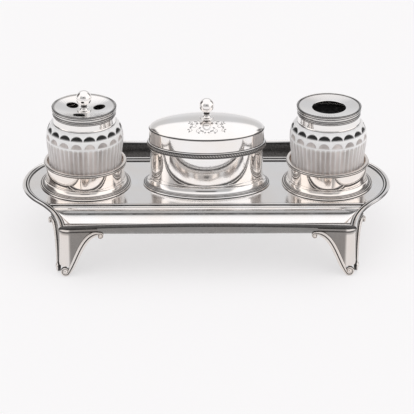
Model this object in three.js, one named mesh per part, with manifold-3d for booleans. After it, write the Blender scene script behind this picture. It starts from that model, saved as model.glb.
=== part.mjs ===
// Silver inkstand: a footed tray with two pen troughs, two galleries that hold cut-glass
// bottles under silver covers, and an oval box with a lift-off domed lid between them.
// Millimetres, +Z up, +X along the tray, front towards -Y, origin under the middle on the table.
import * as THREE from 'three';
import { mergeVertices } from 'three/addons/utils/BufferGeometryUtils.js';
import Module from 'manifold-3d';

const wasm = await Module();
wasm.setup();

// ---- Driving dimensions -------------------------------------------------------------------

const SOLDER_GAP = 0.3;            // between pieces that are soldered side by side
const LIFT_CLEARANCE = 0.3;        // between a piece that lifts off and what it lifts out of

// Bottles and the galleries that hold them
const GLASS_RADIUS = 29.6;
const GLASS_BULGE = 1.6;           // how far the shoulder swells past the body
const GLASS_WALL = 5.4;
const GLASS_BASE = 6;
const SHOULDER_HEIGHT = 41;        // widest point of the shoulder above the deck
const NECK_RADIUS = 21;
const NECK_WALL = 2.6;
const SHOULDER_RISE = 13.2;        // from there up to where the collar sits on the glass
const PITCH_THICKNESS = 2.6;       // between the neck and the collar
const COLLAR_HEIGHT = 10;
const COLLAR_WALL = 1;
const COVER_PROUD = 0.85;          // of the cover's edge over the collar
const COVER_HEIGHT = 3.8;
const COVER_SHEET = 1.2;
const BEZEL_DEPTH = 2.8;
const QUILL_COVER_DISH = 4.2;
const QUILL_HOLE_RADIUS = 4.7;
const QUILL_HOLE_CIRCLE = 12.7;
const QUILL_HOLE_ANGLES = [19, 140, 254];
const INK_COVER_DISH = 2.4;
const INK_HOLE_RADIUS = 13.6;
const GALLERY_CLEARANCE = 1.2;
const GALLERY_WALL = 0.8;
const GALLERY_HEIGHT = 21;
const GALLERY_RIM_HEIGHT = 3;
const GALLERY_RIM_PROUD = 1.8;
const GALLERY_FOOT_PROUD = 5.5;
const GALLERY_FOOT_HEIGHT = 7;

// Oval box
const BOX_HALF_LENGTH = 45.9;
const BOX_HALF_DEPTH = 27.7;
const BOX_WALL = 1;
const BOX_HEIGHT = 37.9;
const BOX_RIM_HEIGHT = 4.7;
const BOX_RIM_PROUD = 2.1;
const BOX_FOOT_PROUD = 5.8;
const BOX_FOOT_HEIGHT = 9;
const BOX_FLOOR_THICKNESS = 1;
const OVAL_RIM = 5;                // how far in from the wall the ovals stay parallel to it
const LID_PROUD = 0.8;
const LID_BAND_HEIGHT = 11.1;
const LID_BAND_THICKNESS = 1.9;
const LID_SHEET = 1.1;
const LID_DOME_RISE = 8.8;
const LID_BEZEL_DEPTH = 3.5;
const LID_BEZEL_WALL = 0.9;

// Finials
const BOX_BALL_RADIUS = 6.05;
const QUILL_BALL_RADIUS = 6.25;
const FINIAL_FLANGE_RADIUS = 5.9;
const FINIAL_FLANGE_HEIGHT = 1.6;
const FINIAL_STEM_RADIUS = 1.9;
const FINIAL_STEM_HEIGHT = 4.5;    // from the seat to the underside of the ball
const FINIAL_SEAT_DEPTH = 0.5;     // of the flat that is cut into the lid's dome
const NUT_RADIUS = 3.4;
const NUT_THICKNESS = 1.6;

// Pen troughs and the mouldings behind them
const TROUGH_RADIUS = 14.8;
const TROUGH_WALL = 0.8;
const TROUGH_RISE = 1.1;           // of the trough's axis above the deck
const TROUGH_END_SLOPE = 0.84;     // inward run of the end walls per unit of depth
const MOULDING_WIDTH = 7.5;
const MOULDING_HEIGHT = 1.4;

// Tray
const BOX_TO_GALLERY = 9.6;        // clear deck between the box's foot and a gallery's foot
const GALLERY_TO_MOULDING = 3.9;
const TROUGH_TO_EDGE = 4.4;        // from a trough's mouth to the middle of the long edge
const END_REACH = 51.6;            // from a bottle's axis to the tip of the tray
const CORNER_SETBACK = 33.4;       // from the tip of the tray back to its corners
const END_RADIUS = 60;
const SIDE_RADIUS = 85.7;
const EDGE_BOW = 4.4;              // how far the long edges curve in between the corners
const DECK_THICKNESS = 1.2;
const BORDER_WIDTH = 5.7;
const BORDER_HEIGHT = 1.4;
const BORDER_LIP = 0.9;            // how far the border hangs below the deck's top
const BORDER_LIP_WIDTH = 2;
const BORDER_OVERHANG = 0.7;       // of the border over the mouth of a trough

// Feet
const FOOT_HEIGHT = 39.7;
const FOOT_INSET = 1.2;
const FOOT_SHEET = 1.5;
const FOOT_FLARE = 1.6;
const FOOT_CORNER_RADIUS = 6.5;
const FOOT_LAP = 1;                // how far the sheet reaches down between the lower scrolls
const CORNICE_DEPTH = 2.5;
const CORNICE_PROUD = 0.7;
const STRAP_WIDTH = 4.6;
const STRAP_PROUD = 1.3;
const LOWER_SCROLL_RADIUS = 4.4;
const UPPER_SCROLL_RADIUS = 3;
const UPPER_SCROLL_DROP = 6.1;     // from the deck down to the upper scroll's eye
const FRONT_SCROLL = { start: 3.4, run: 27.8 };
const SIDE_SCROLL = { start: 8.3, run: 23.5 };

const ROUND_SEGMENTS = 24;
const OVAL_SEGMENTS = 32;
const FINIAL_SEGMENTS = 12;

// ---- Derived sizes ------------------------------------------------------------------------

const DECK_TOP = FOOT_HEIGHT + DECK_THICKNESS;
const GALLERY_INNER = GLASS_RADIUS + GALLERY_CLEARANCE;
const GALLERY_OUTER = GALLERY_INNER + GALLERY_WALL;
const GALLERY_FOOT_RADIUS = GALLERY_OUTER + GALLERY_FOOT_PROUD;
const NECK_FOOT_HEIGHT = SHOULDER_HEIGHT + SHOULDER_RISE;
const COLLAR_TOP = NECK_FOOT_HEIGHT + COLLAR_HEIGHT;
const COLLAR_INNER = NECK_RADIUS + PITCH_THICKNESS + 2 * SOLDER_GAP;
const COLLAR_RADIUS = COLLAR_INNER + COLLAR_WALL;
const COVER_RADIUS = COLLAR_RADIUS + COVER_PROUD;
const BEZEL_RADIUS = COLLAR_INNER - LIFT_CLEARANCE;
const NECK_TOP = COLLAR_TOP - BEZEL_DEPTH - SOLDER_GAP;
const QUILL_SEAT = COLLAR_TOP + COVER_HEIGHT - QUILL_COVER_DISH;

const BOTTLE_X = BOX_HALF_LENGTH + BOX_FOOT_PROUD + BOX_TO_GALLERY + GALLERY_FOOT_RADIUS;
const TIP_X = BOTTLE_X + END_REACH;
const CORNER_X = TIP_X - CORNER_SETBACK;
const MOULDING_BACK = Math.max(GALLERY_FOOT_RADIUS, BOX_HALF_DEPTH + BOX_FOOT_PROUD) + GALLERY_TO_MOULDING;
const TROUGH_BACK = MOULDING_BACK + MOULDING_WIDTH + SOLDER_GAP;
const TROUGH_Y = TROUGH_BACK + TROUGH_RADIUS;
const TROUGH_Z = DECK_TOP + TROUGH_RISE;
const EDGE_MID_Y = TROUGH_Y + TROUGH_RADIUS + TROUGH_TO_EDGE;
const CORNER_Y = EDGE_MID_Y + EDGE_BOW;
const MOUTH_INSET = BORDER_WIDTH - BORDER_OVERHANG;

// ---- Geometry helpers ---------------------------------------------------------------------

function solidOf(geometry) {
  const bare = geometry.clone();
  bare.deleteAttribute('normal');
  bare.deleteAttribute('uv');
  const merged = mergeVertices(bare, 1e-4);
  return new wasm.Manifold(new wasm.Mesh({
    numProp: 3,
    vertProperties: new Float32Array(merged.attributes.position.array),
    triVerts: new Uint32Array(merged.index.array),
  }));
}

function geometryOf(solid) {
  const mesh = solid.getMesh();
  const geometry = new THREE.BufferGeometry();
  geometry.setAttribute('position', new THREE.BufferAttribute(mesh.vertProperties, 3));
  geometry.setIndex(new THREE.BufferAttribute(mesh.triVerts, 1));
  return geometry;
}

function cut(geometry, ...tools) {
  return geometryOf(tools.reduce((body, tool) => body.subtract(solidOf(tool)), solidOf(geometry)));
}

function common(geometry, other) {
  return geometryOf(solidOf(geometry).intersect(solidOf(other)));
}

function joined(geometry, ...others) {
  return geometryOf(others.reduce((body, other) => body.add(solidOf(other)), solidOf(geometry)));
}

// Six times the enclosed volume: negative when the faces point inwards.
function signedVolume(geometry) {
  const { array } = geometry.attributes.position;
  const corner = (i) => new THREE.Vector3().fromArray(array, 3 * geometry.index.array[i]);
  let total = 0;
  for (let i = 0; i < geometry.index.count; i += 3) {
    total += corner(i).dot(corner(i + 1).cross(corner(i + 2)));
  }
  return total;
}

function facingOut(geometry) {
  if (signedVolume(geometry) < 0) {
    geometry.index.array.reverse();
  }
  return geometry;
}

// Mirrors a piece of the front right quarter into the quarter given by two signs.
function inQuarter(geometry, signX, signY) {
  return facingOut(geometry.clone().scale(signX, signY, 1));
}

// A solid of revolution about Z. The outline is [radius, height] pairs: up the outside, then
// back down the inside to its first point, or from the axis to the axis.
function turned(outline, segments = ROUND_SEGMENTS) {
  const points = outline.map(([radius, height]) => new THREE.Vector2(radius, height));
  return facingOut(new THREE.LatheGeometry(points, segments).rotateX(Math.PI / 2));
}

const closed = (outline) => [...outline, outline[0]];

function tube(inner, outer, low, high, segments = ROUND_SEGMENTS) {
  return turned(closed([[outer, low], [outer, high], [inner, high], [inner, low]]), segments);
}

// Like turned(), but each radius is the half-length of an oval. Near the box's wall the oval's
// outline keeps an even distance to the wall, and towards the middle it shrinks in proportion.
function oval(outline) {
  const core = BOX_HALF_LENGTH - OVAL_RIM;
  const difference = BOX_HALF_LENGTH - BOX_HALF_DEPTH;
  const geometry = turned(outline, OVAL_SEGMENTS);
  const { position } = geometry.attributes;
  for (let i = 0; i < position.count; i += 1) {
    const radius = Math.hypot(position.getX(i), position.getY(i));
    const depth = radius > core ? radius - difference : radius * (1 - difference / core);
    position.setY(i, radius > 0 ? position.getY(i) * depth / radius : 0);
  }
  return geometry;
}

// Joins rings of equally many points into one closed skin. Each end is closed by the flat
// triangles of the section that the rings repeat.
function skin(rings, section) {
  const contour = section.map(([x, y]) => new THREE.Vector2(x, y));
  if (THREE.ShapeUtils.isClockWise(contour)) {
    return skin(rings.map((ring) => [...ring].reverse()), [...section].reverse());
  }
  const size = section.length;
  const indices = [];
  for (let i = 0; i + 1 < rings.length; i += 1) {
    for (let j = 0; j < size; j += 1) {
      const a = i * size + j;
      const b = i * size + (j + 1) % size;
      indices.push(a, b, b + size, a, b + size, a + size);
    }
  }
  const last = (rings.length - 1) * size;
  for (const [a, b, c] of THREE.ShapeUtils.triangulateShape(contour, [])) {
    indices.push(c, b, a, last + a, last + b, last + c);
  }
  const geometry = new THREE.BufferGeometry();
  geometry.setAttribute('position', new THREE.Float32BufferAttribute(rings.flat(2), 3));
  geometry.setIndex(indices);
  return facingOut(geometry);
}

// A flat-bottomed block with the given plan outline.
function prism(plan, low, high) {
  return skin([low, high].map((z) => plan.map(([x, y]) => [x, y, z])), plan);
}

// ---- The tray's outline ------------------------------------------------------------------
// The outline is made of arcs: a round end, a hollow side next to each corner and a long edge
// that bows in. Every function works on the front right quarter and takes the inset from the
// edge, so that all lines of the tray run parallel.

const END_CENTRE = [TIP_X - END_RADIUS, 0];
const EDGE_RADIUS = (CORNER_X ** 2 + EDGE_BOW ** 2) / (2 * EDGE_BOW);
const EDGE_CENTRE = [0, -EDGE_MID_Y - EDGE_RADIUS];

// The crossing of two circles that lies to the right of the line from the first to the second.
function crossing([ax, ay], radiusA, [bx, by], radiusB) {
  const distance = Math.hypot(bx - ax, by - ay);
  const along = (distance ** 2 + radiusA ** 2 - radiusB ** 2) / (2 * distance);
  const aside = Math.sqrt(radiusA ** 2 - along ** 2);
  const [ux, uy] = [(bx - ax) / distance, (by - ay) / distance];
  return [ax + along * ux + aside * uy, ay + along * uy - aside * ux];
}

const SIDE_CENTRE = crossing([CORNER_X, -CORNER_Y], SIDE_RADIUS, END_CENTRE, END_RADIUS + SIDE_RADIUS);

const cornerAt = (inset) => (
  crossing(SIDE_CENTRE, SIDE_RADIUS + inset, EDGE_CENTRE, EDGE_RADIUS + inset));

const angleFrom = ([cx, cy], [x, y]) => Math.atan2(y - cy, x - cx);

function arc([cx, cy], radius, from, to, steps) {
  return Array.from({ length: steps + 1 }, (_, i) => {
    const angle = from + (to - from) * i / steps;
    return [cx + radius * Math.cos(angle), cy + radius * Math.sin(angle)];
  });
}

const blendAngle = angleFrom(END_CENTRE, SIDE_CENTRE);
const positive = (angle) => (angle + 2 * Math.PI) % (2 * Math.PI);

// Right end, from the front hollow to the rear one.
function endArc(inset, steps = 12) {
  return arc(END_CENTRE, END_RADIUS - inset, blendAngle, -blendAngle, steps);
}

// From the corner to where the round end begins, optionally stopping short of both.
function sideArc(inset, steps = 6, trim = 0) {
  const shorten = trim / SIDE_RADIUS;
  const start = positive(angleFrom(SIDE_CENTRE, cornerAt(inset))) - shorten;
  const finish = positive(blendAngle + Math.PI) + shorten;
  return arc(SIDE_CENTRE, SIDE_RADIUS + inset, start, finish, steps);
}

// The whole front edge from corner to corner.
function edgeArc(inset, steps = 12, trim = 0) {
  const start = angleFrom(EDGE_CENTRE, cornerAt(inset)) + trim / EDGE_RADIUS;
  return arc(EDGE_CENTRE, EDGE_RADIUS + inset, Math.PI - start, start, steps);
}

const mirrorX = (points) => points.map(([x, y]) => [-x, y]).reverse();
const mirrorY = (points) => points.map(([x, y]) => [x, -y]).reverse();

// The closed outline of the tray, counter-clockwise from the front left corner.
function trayOutline(inset) {
  const rightSide = [...sideArc(inset).slice(0, -1), ...endArc(inset), ...mirrorY(sideArc(inset)).slice(1)];
  const leftSide = mirrorX(rightSide);
  const front = edgeArc(inset);
  return [...front.slice(0, -1), ...rightSide, ...mirrorY(front).slice(1), ...leftSide.slice(1, -1)];
}

// The hollow sides of the front corners joined straight across: it bounds a trough's length.
function betweenSides(inset, squeeze = 0) {
  const right = sideArc(inset, 8).map(([x, y]) => [x - squeeze, y]);
  return [...right, ...mirrorX(right)];
}

// ---- Tray ---------------------------------------------------------------------------------

function mouthBlock(low, high) {
  const [front, back] = [-TROUGH_Y - TROUGH_RADIUS, -TROUGH_BACK];
  const strip = [[-TIP_X, front], [TIP_X, front], [TIP_X, back], [-TIP_X, back]];
  return common(prism(strip, low, high), prism(betweenSides(MOUTH_INSET), low - 1, high + 1));
}

function trayDeck() {
  const plate = prism(trayOutline(BORDER_LIP_WIDTH + SOLDER_GAP), FOOT_HEIGHT, DECK_TOP);
  const mouth = mouthBlock(FOOT_HEIGHT - 1, DECK_TOP + 1);
  return cut(plate, mouth, inQuarter(mouth, 1, -1));
}

// A block under one trough's mouth whose end walls lean in towards the bottom.
function leaningBlock(inset, top) {
  const bottom = TROUGH_Z - TROUGH_RADIUS - 2;
  const section = betweenSides(inset);
  const lean = (FOOT_HEIGHT - bottom) * TROUGH_END_SLOPE;
  const rise = (top - FOOT_HEIGHT) * TROUGH_END_SLOPE;
  const rings = [betweenSides(inset, lean).map(([x, y]) => [x, y, bottom])];
  rings.push(betweenSides(inset, -rise).map(([x, y]) => [x, y, top]));
  return skin(rings, section);
}

function troughRod(radius) {
  const rod = new THREE.CylinderGeometry(radius, radius, 2 * TIP_X, 32);
  return rod.rotateZ(Math.PI / 2).translate(0, -TROUGH_Y, TROUGH_Z);
}

function penTrough() {
  const outside = common(
    troughRod(TROUGH_RADIUS + TROUGH_WALL), leaningBlock(MOUTH_INSET - TROUGH_WALL, FOOT_HEIGHT));
  const inside = common(troughRod(TROUGH_RADIUS), leaningBlock(MOUTH_INSET, FOOT_HEIGHT + 2));
  return cut(outside, inside);
}

function troughMoulding() {
  const width = MOULDING_WIDTH;
  const top = MOULDING_HEIGHT;
  const shape = [
    [0, 0], [width, 0], [width, 0.5 * top], [0.86 * width, 0.75 * top], [0.76 * width, 0.45 * top],
    [0.66 * width, 0.9 * top], [0.5 * width, top], [0.34 * width, 0.9 * top], [0.24 * width, 0.45 * top],
    [0.14 * width, 0.75 * top], [0, 0.5 * top],
  ];
  const front = -MOULDING_BACK - width;
  const bar = skin([-TIP_X, TIP_X].map((x) => shape.map(([y, z]) => [x, front + y, DECK_TOP + z])), shape);
  const outline = trayOutline(BORDER_WIDTH + SOLDER_GAP);
  return common(bar, prism(outline, DECK_TOP - 1, DECK_TOP + MOULDING_HEIGHT + 1));
}

// The border's section as [inset, height above the deck]: a bold outer reed, a groove, a
// smaller inner reed, and a lip that hangs outside the deck's edge.
const BORDER_SECTION = [
  [BORDER_LIP_WIDTH, -BORDER_LIP], [0.9, -BORDER_LIP], [0, 0.1], [0.3, 0.7 * BORDER_HEIGHT],
  [1.5, BORDER_HEIGHT], [2.6, 0.8 * BORDER_HEIGHT], [3.1, 0.45 * BORDER_HEIGHT],
  [4.2, 0.8 * BORDER_HEIGHT], [BORDER_WIDTH, 0.3 * BORDER_HEIGHT], [BORDER_WIDTH, 0], [BORDER_LIP_WIDTH, 0],
];

// Sweeps the border's section along one stretch of the outline.
function borderAlong(stretch) {
  const lines = BORDER_SECTION.map(([inset]) => stretch(inset));
  const rings = lines[0].map((_, station) => (
    BORDER_SECTION.map(([, height], j) => [...lines[j][station], DECK_TOP + height])));
  return skin(rings, BORDER_SECTION);
}

// ---- Feet -----------------------------------------------------------------------------------
// A foot is a sheet that turns the tray's corner, edged on both sides by a reeded strap that
// runs down from a small scroll under the tray to a larger one on the table.

const UPPER_EYE = FOOT_HEIGHT - UPPER_SCROLL_DROP;

// The strap's middle line, as distance from the corner and height.
function strapCurve({ start, run }) {
  const rise = UPPER_EYE - LOWER_SCROLL_RADIUS;
  const at = (along, up) => new THREE.Vector2(start + along * run, LOWER_SCROLL_RADIUS + up * rise);
  return new THREE.CubicBezierCurve(at(0.92, 1.035), at(0.525, 1.065), at(0.367, 0.33), at(0.115, 0.06));
}

const flareAt = (height) => FOOT_FLARE * (1 - height / FOOT_HEIGHT) ** 2;

// A point beside the corner: distance from it along one edge, offset out of that edge, height.
function besideFront(distance, offset, height) {
  const [cornerX, cornerY] = cornerAt(FOOT_INSET);
  const angle = angleFrom(EDGE_CENTRE, [cornerX, cornerY]) + distance / EDGE_RADIUS;
  const [[x, y]] = arc(EDGE_CENTRE, EDGE_RADIUS + FOOT_INSET - offset - flareAt(height), angle, angle, 1);
  return [x, y, height];
}

function besideSide(distance, offset, height) {
  const angle = positive(angleFrom(SIDE_CENTRE, cornerAt(FOOT_INSET))) - distance / SIDE_RADIUS;
  const [[x, y]] = arc(SIDE_CENTRE, SIDE_RADIUS + FOOT_INSET - offset - flareAt(height), angle, angle, 1);
  return [x, y, height];
}

const STRAP_HALF = STRAP_WIDTH / 2;

// The strap's section as [across, offset]: two reeds with a groove between them.
const STRAP_SECTION = [
  [STRAP_HALF, -FOOT_SHEET], [STRAP_HALF, STRAP_PROUD - 0.5], [0.55 * STRAP_HALF, STRAP_PROUD],
  [0, STRAP_PROUD - 0.6], [-0.55 * STRAP_HALF, STRAP_PROUD], [-STRAP_HALF, STRAP_PROUD - 0.5],
  [-STRAP_HALF, -FOOT_SHEET],
];

// What is cleared from the sheet for the strap: wider by the solder gap, and right through.
const CLEARED_HALF = STRAP_HALF + SOLDER_GAP;
const CLEARED_DEPTH = 2 * FOOT_SHEET + STRAP_PROUD;
const CLEARED_SECTION = [
  [CLEARED_HALF, -CLEARED_DEPTH], [CLEARED_HALF, CLEARED_DEPTH],
  [-CLEARED_HALF, CLEARED_DEPTH], [-CLEARED_HALF, -CLEARED_DEPTH],
];

// A strap between its two scrolls. Half its section's width past the strap's own half is
// added to the scrolls as well.
function strapSolid(scroll, beside, section) {
  const curve = strapCurve(scroll);
  const steps = 8;
  const rings = Array.from({ length: steps + 1 }, (_, i) => {
    const middle = curve.getPointAt(i / steps);
    const way = curve.getTangentAt(i / steps);
    return section.map(([across, offset]) => (
      beside(middle.x + across * way.y, offset, middle.y - across * way.x)));
  });
  const grown = section[0][0] - STRAP_HALF;
  const faces = [section[0][1], section[1][1] + 0.9];
  const upperX = scroll.start + scroll.run;
  const lower = scrollDrum(scroll.start, LOWER_SCROLL_RADIUS, LOWER_SCROLL_RADIUS + grown, faces, beside);
  const upper = scrollDrum(upperX, UPPER_EYE, UPPER_SCROLL_RADIUS + grown, faces, beside);
  return joined(skin(rings, section), lower, upper);
}

// A twelve-sided drum around a scroll's eye, flat side down, with the given radius to its flats.
function scrollDrum(distance, height, radius, faces, beside) {
  const sides = 12;
  const reach = radius / Math.cos(Math.PI / sides);
  const circle = Array.from({ length: sides }, (_, i) => {
    const angle = Math.PI * (2 * i + 1) / sides;
    return [reach * Math.sin(angle), reach * Math.cos(angle)];
  });
  const rings = faces.map((offset) => circle.map(([along, up]) => {
    const [x, y] = beside(distance + along, offset, height);
    return [x, y, height + up];
  }));
  return skin(rings, circle);
}

// The plan line of the sheet's middle from the front strap round the corner to the side strap,
// as points with their outward direction and their distance from the corner along an edge.
function footLine() {
  const radius = FOOT_CORNER_RADIUS;
  const centre = cornerAt(FOOT_INSET + radius);
  const frontTurn = angleFrom(EDGE_CENTRE, centre);
  const sideTurn = positive(angleFrom(SIDE_CENTRE, centre));
  const onEdge = ([cx, cy], around, angle, distance) => ({
    x: cx + around * Math.cos(angle),
    y: cy + around * Math.sin(angle),
    out: [-Math.cos(angle), -Math.sin(angle)],
    distance,
  });
  const steps = 5;
  const front = Array.from({ length: steps }, (_, i) => {
    const distance = FRONT_SCROLL.start + 0.9 * FRONT_SCROLL.run * (1 - i / steps);
    const angle = angleFrom(EDGE_CENTRE, cornerAt(FOOT_INSET)) + distance / EDGE_RADIUS;
    return { ...onEdge(EDGE_CENTRE, EDGE_RADIUS + FOOT_INSET, angle, distance), scroll: FRONT_SCROLL };
  }).filter(({ distance }) => distance > radius + 0.5);
  const side = Array.from({ length: steps }, (_, i) => {
    const distance = SIDE_SCROLL.start + 0.9 * SIDE_SCROLL.run * (i + 1) / steps;
    const angle = positive(angleFrom(SIDE_CENTRE, cornerAt(FOOT_INSET))) - distance / SIDE_RADIUS;
    return { ...onEdge(SIDE_CENTRE, SIDE_RADIUS + FOOT_INSET, angle, distance), scroll: SIDE_SCROLL };
  });
  const round = Array.from({ length: 4 }, (_, i) => {
    const from = frontTurn - Math.PI;
    const angle = from + (sideTurn - Math.PI - from) * i / 3;
    const out = [Math.cos(angle), Math.sin(angle)];
    return { x: centre[0] + radius * out[0], y: centre[1] + radius * out[1], out, scroll: null };
  });
  return [...front, ...round, ...side];
}

// The height of a strap's middle line at a distance from the corner.
function strapHeight(scroll, distance) {
  const curve = strapCurve(scroll);
  let [low, high] = [0, 1];
  while (high - low > 1e-4) {
    const middle = (low + high) / 2;
    if (curve.getPoint(middle).x > distance) {
      low = middle;
    } else {
      high = middle;
    }
  }
  return curve.getPoint(low).y;
}

function footSheet() {
  const stations = footLine();
  const cornice = FOOT_HEIGHT - CORNICE_DEPTH;
  const levels = (low) => [
    [low, 0], [low + (cornice - low) / 2, 0], [cornice - 0.3, 0], [cornice, CORNICE_PROUD],
    [FOOT_HEIGHT, CORNICE_PROUD],
  ];
  const section = [...levels(0), [FOOT_HEIGHT, -FOOT_SHEET], [0, -FOOT_SHEET]];
  const rings = stations.map(({ x, y, out, distance, scroll }) => {
    const low = scroll ? strapHeight(scroll, distance) : 2 * LOWER_SCROLL_RADIUS - FOOT_LAP;
    const column = [...levels(low), [FOOT_HEIGHT, -FOOT_SHEET], [low, -FOOT_SHEET]];
    return column.map(([height, offset]) => {
      const reach = offset + flareAt(height);
      return [x + reach * out[0], y + reach * out[1], height];
    });
  });
  return cut(
    skin(rings, section),
    strapSolid(FRONT_SCROLL, besideFront, CLEARED_SECTION),
    strapSolid(SIDE_SCROLL, besideSide, CLEARED_SECTION),
  );
}

// ---- Bottle stations --------------------------------------------------------------------

const above = (outline) => outline.map(([radius, height]) => [radius, DECK_TOP + height]);

function galleryWall() {
  return tube(GALLERY_INNER, GALLERY_OUTER, DECK_TOP, DECK_TOP + GALLERY_HEIGHT - GALLERY_RIM_HEIGHT);
}

// Three reeds, the middle one the boldest.
function galleryRim() {
  const [low, high] = [GALLERY_HEIGHT - GALLERY_RIM_HEIGHT, GALLERY_HEIGHT];
  const outer = GALLERY_OUTER + GALLERY_RIM_PROUD;
  const third = GALLERY_RIM_HEIGHT / 3;
  return turned(above(closed([
    [outer - 1.2, low], [outer - 0.5, low + third], [outer, low + 1.3 * third], [outer, low + 2.1 * third],
    [outer - 0.6, high], [GALLERY_INNER, high], [GALLERY_INNER, low],
  ])));
}

// A stepped flange on the deck that sweeps up the wall.
function galleryFoot() {
  const inner = GALLERY_OUTER + SOLDER_GAP;
  const outer = GALLERY_FOOT_RADIUS;
  return turned(above(closed([
    [outer, 0], [outer, 0.9], [outer - 1, 1.5], [outer - 2.4, 1.6], [outer - 3.2, 2.4],
    [inner + 0.9, 4], [inner + 0.3, GALLERY_FOOT_HEIGHT], [inner, GALLERY_FOOT_HEIGHT], [inner, 0],
  ])));
}

function glassBottle() {
  const widest = GLASS_RADIUS + GLASS_BULGE;
  const seat = COLLAR_RADIUS - 0.4;
  const cavity = GLASS_RADIUS - GLASS_WALL;
  const mouth = NECK_RADIUS - NECK_WALL;
  return turned(above([
    [0, 0], [GLASS_RADIUS - 1, 0], [GLASS_RADIUS, 1], [GLASS_RADIUS, SHOULDER_HEIGHT - 14],
    [widest - 0.5, SHOULDER_HEIGHT - 4], [widest, SHOULDER_HEIGHT], [widest - 0.5, SHOULDER_HEIGHT + 3],
    [0.62 * widest + 0.38 * seat, SHOULDER_HEIGHT + 8], [seat, NECK_FOOT_HEIGHT],
    [NECK_RADIUS, NECK_FOOT_HEIGHT], [NECK_RADIUS, NECK_TOP], [mouth, NECK_TOP],
    [mouth, NECK_FOOT_HEIGHT - 3], [cavity, SHOULDER_HEIGHT], [cavity, GLASS_BASE + 3],
    [cavity - 3, GLASS_BASE], [0, GLASS_BASE],
  ]));
}

function bottleCollar() {
  return turned(above(closed([
    [COLLAR_RADIUS, NECK_FOOT_HEIGHT], [COLLAR_RADIUS - 0.3, COLLAR_TOP - 4],
    [COLLAR_RADIUS + 0.3, COLLAR_TOP - 3.2], [COLLAR_RADIUS + 0.3, COLLAR_TOP - 1.2],
    [COLLAR_RADIUS - 0.2, COLLAR_TOP], [COLLAR_INNER, COLLAR_TOP], [COLLAR_INNER, NECK_FOOT_HEIGHT],
  ])));
}

// The ring of pitch that fixes the collar to the bottle's neck.
function collarPitch() {
  const [inner, outer] = [NECK_RADIUS + SOLDER_GAP, COLLAR_INNER - SOLDER_GAP];
  return tube(inner, outer, DECK_TOP + NECK_FOOT_HEIGHT, DECK_TOP + NECK_TOP);
}

// A round cover with a reeded edge, a dished top and a bezel that drops into the collar.
function dishedCover(dish, holeRadius) {
  const top = COLLAR_TOP + COVER_HEIGHT;
  const lip = COVER_RADIUS - 1.4;
  const middle = holeRadius > 0 ? holeRadius : 0;
  const topAt = (radius) => top - 0.6 - (dish - 0.6) * (1 - (radius / lip) ** 2);
  const upper = [lip - 4, 0.5 * (lip + middle), middle];
  const lower = [...upper].reverse();
  const outline = above([
    [COVER_RADIUS - 0.6, COLLAR_TOP], [COVER_RADIUS, COLLAR_TOP + 0.8],
    [COVER_RADIUS - 0.4, COLLAR_TOP + 1.7], [COVER_RADIUS, COLLAR_TOP + 2.6],
    [COVER_RADIUS, top - 0.4], [COVER_RADIUS - 0.6, top], [lip, top - 0.6],
    ...upper.map((radius) => [radius, topAt(radius)]),
    ...lower.map((radius) => [radius, topAt(radius) - COVER_SHEET]),
    [BEZEL_RADIUS - 1, COLLAR_TOP - BEZEL_DEPTH], [BEZEL_RADIUS, COLLAR_TOP - BEZEL_DEPTH],
    [BEZEL_RADIUS, COLLAR_TOP],
  ]);
  return turned(closed(outline));
}

function quillCover() {
  const disc = dishedCover(QUILL_COVER_DISH, FINIAL_STEM_RADIUS + SOLDER_GAP);
  const holes = QUILL_HOLE_ANGLES.map((degrees) => {
    const angle = THREE.MathUtils.degToRad(degrees);
    const hole = new THREE.CylinderGeometry(QUILL_HOLE_RADIUS, QUILL_HOLE_RADIUS, 20, 16);
    return hole.rotateX(Math.PI / 2).translate(
      QUILL_HOLE_CIRCLE * Math.cos(angle), QUILL_HOLE_CIRCLE * Math.sin(angle), DECK_TOP + COLLAR_TOP);
  });
  return cut(disc, flangeRecess(QUILL_SEAT), ...holes);
}

// ---- Oval box ---------------------------------------------------------------------------

const BOX_INNER = BOX_HALF_LENGTH - BOX_WALL;
const LID_RADIUS = BOX_HALF_LENGTH + LID_PROUD;
const LID_TOP = BOX_HEIGHT + LID_BAND_HEIGHT;
const LID_INNER = LID_RADIUS - LID_BAND_THICKNESS;
const DOME_RADIUS = LID_RADIUS - 0.4;
const LID_SEAT = LID_TOP + LID_DOME_RISE - FINIAL_SEAT_DEPTH;
const LID_NUT_TOP = LID_TOP + LID_DOME_RISE - LID_SHEET - 2 * SOLDER_GAP;

function boxWall() {
  return oval(above(closed([
    [BOX_HALF_LENGTH, 0], [BOX_HALF_LENGTH, BOX_HEIGHT], [BOX_INNER, BOX_HEIGHT], [BOX_INNER, 0]])));
}

function boxFloor() {
  const edge = BOX_INNER - SOLDER_GAP;
  return oval(above([[0, 0], [edge, 0], [edge, BOX_FLOOR_THICKNESS], [0, BOX_FLOOR_THICKNESS]]));
}

function boxFoot() {
  const inner = BOX_HALF_LENGTH + SOLDER_GAP;
  const outer = BOX_HALF_LENGTH + BOX_FOOT_PROUD;
  return oval(above(closed([
    [outer, 0], [outer, 0.9], [outer - 0.9, 1.6], [outer - 2, 1.7], [outer - 2.8, 2.6],
    [inner + 1.2, 4.6], [inner + 0.4, BOX_FOOT_HEIGHT], [inner, BOX_FOOT_HEIGHT], [inner, 0],
  ])));
}

function boxRim() {
  const inner = BOX_HALF_LENGTH + SOLDER_GAP;
  const outer = BOX_HALF_LENGTH + BOX_RIM_PROUD;
  const low = BOX_HEIGHT - BOX_RIM_HEIGHT;
  return oval(above(closed([
    [inner + 0.4, low], [outer - 0.2, low + 0.8], [outer, low + 1.8], [outer - 0.4, low + 2.4],
    [outer, low + 3], [outer - 0.2, BOX_HEIGHT], [inner, BOX_HEIGHT], [inner, low],
  ])));
}

const domeHeight = (radius) => (
  LID_TOP + LID_DOME_RISE * (1 - (radius / DOME_RADIUS) ** 2) ** 0.55);

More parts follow.
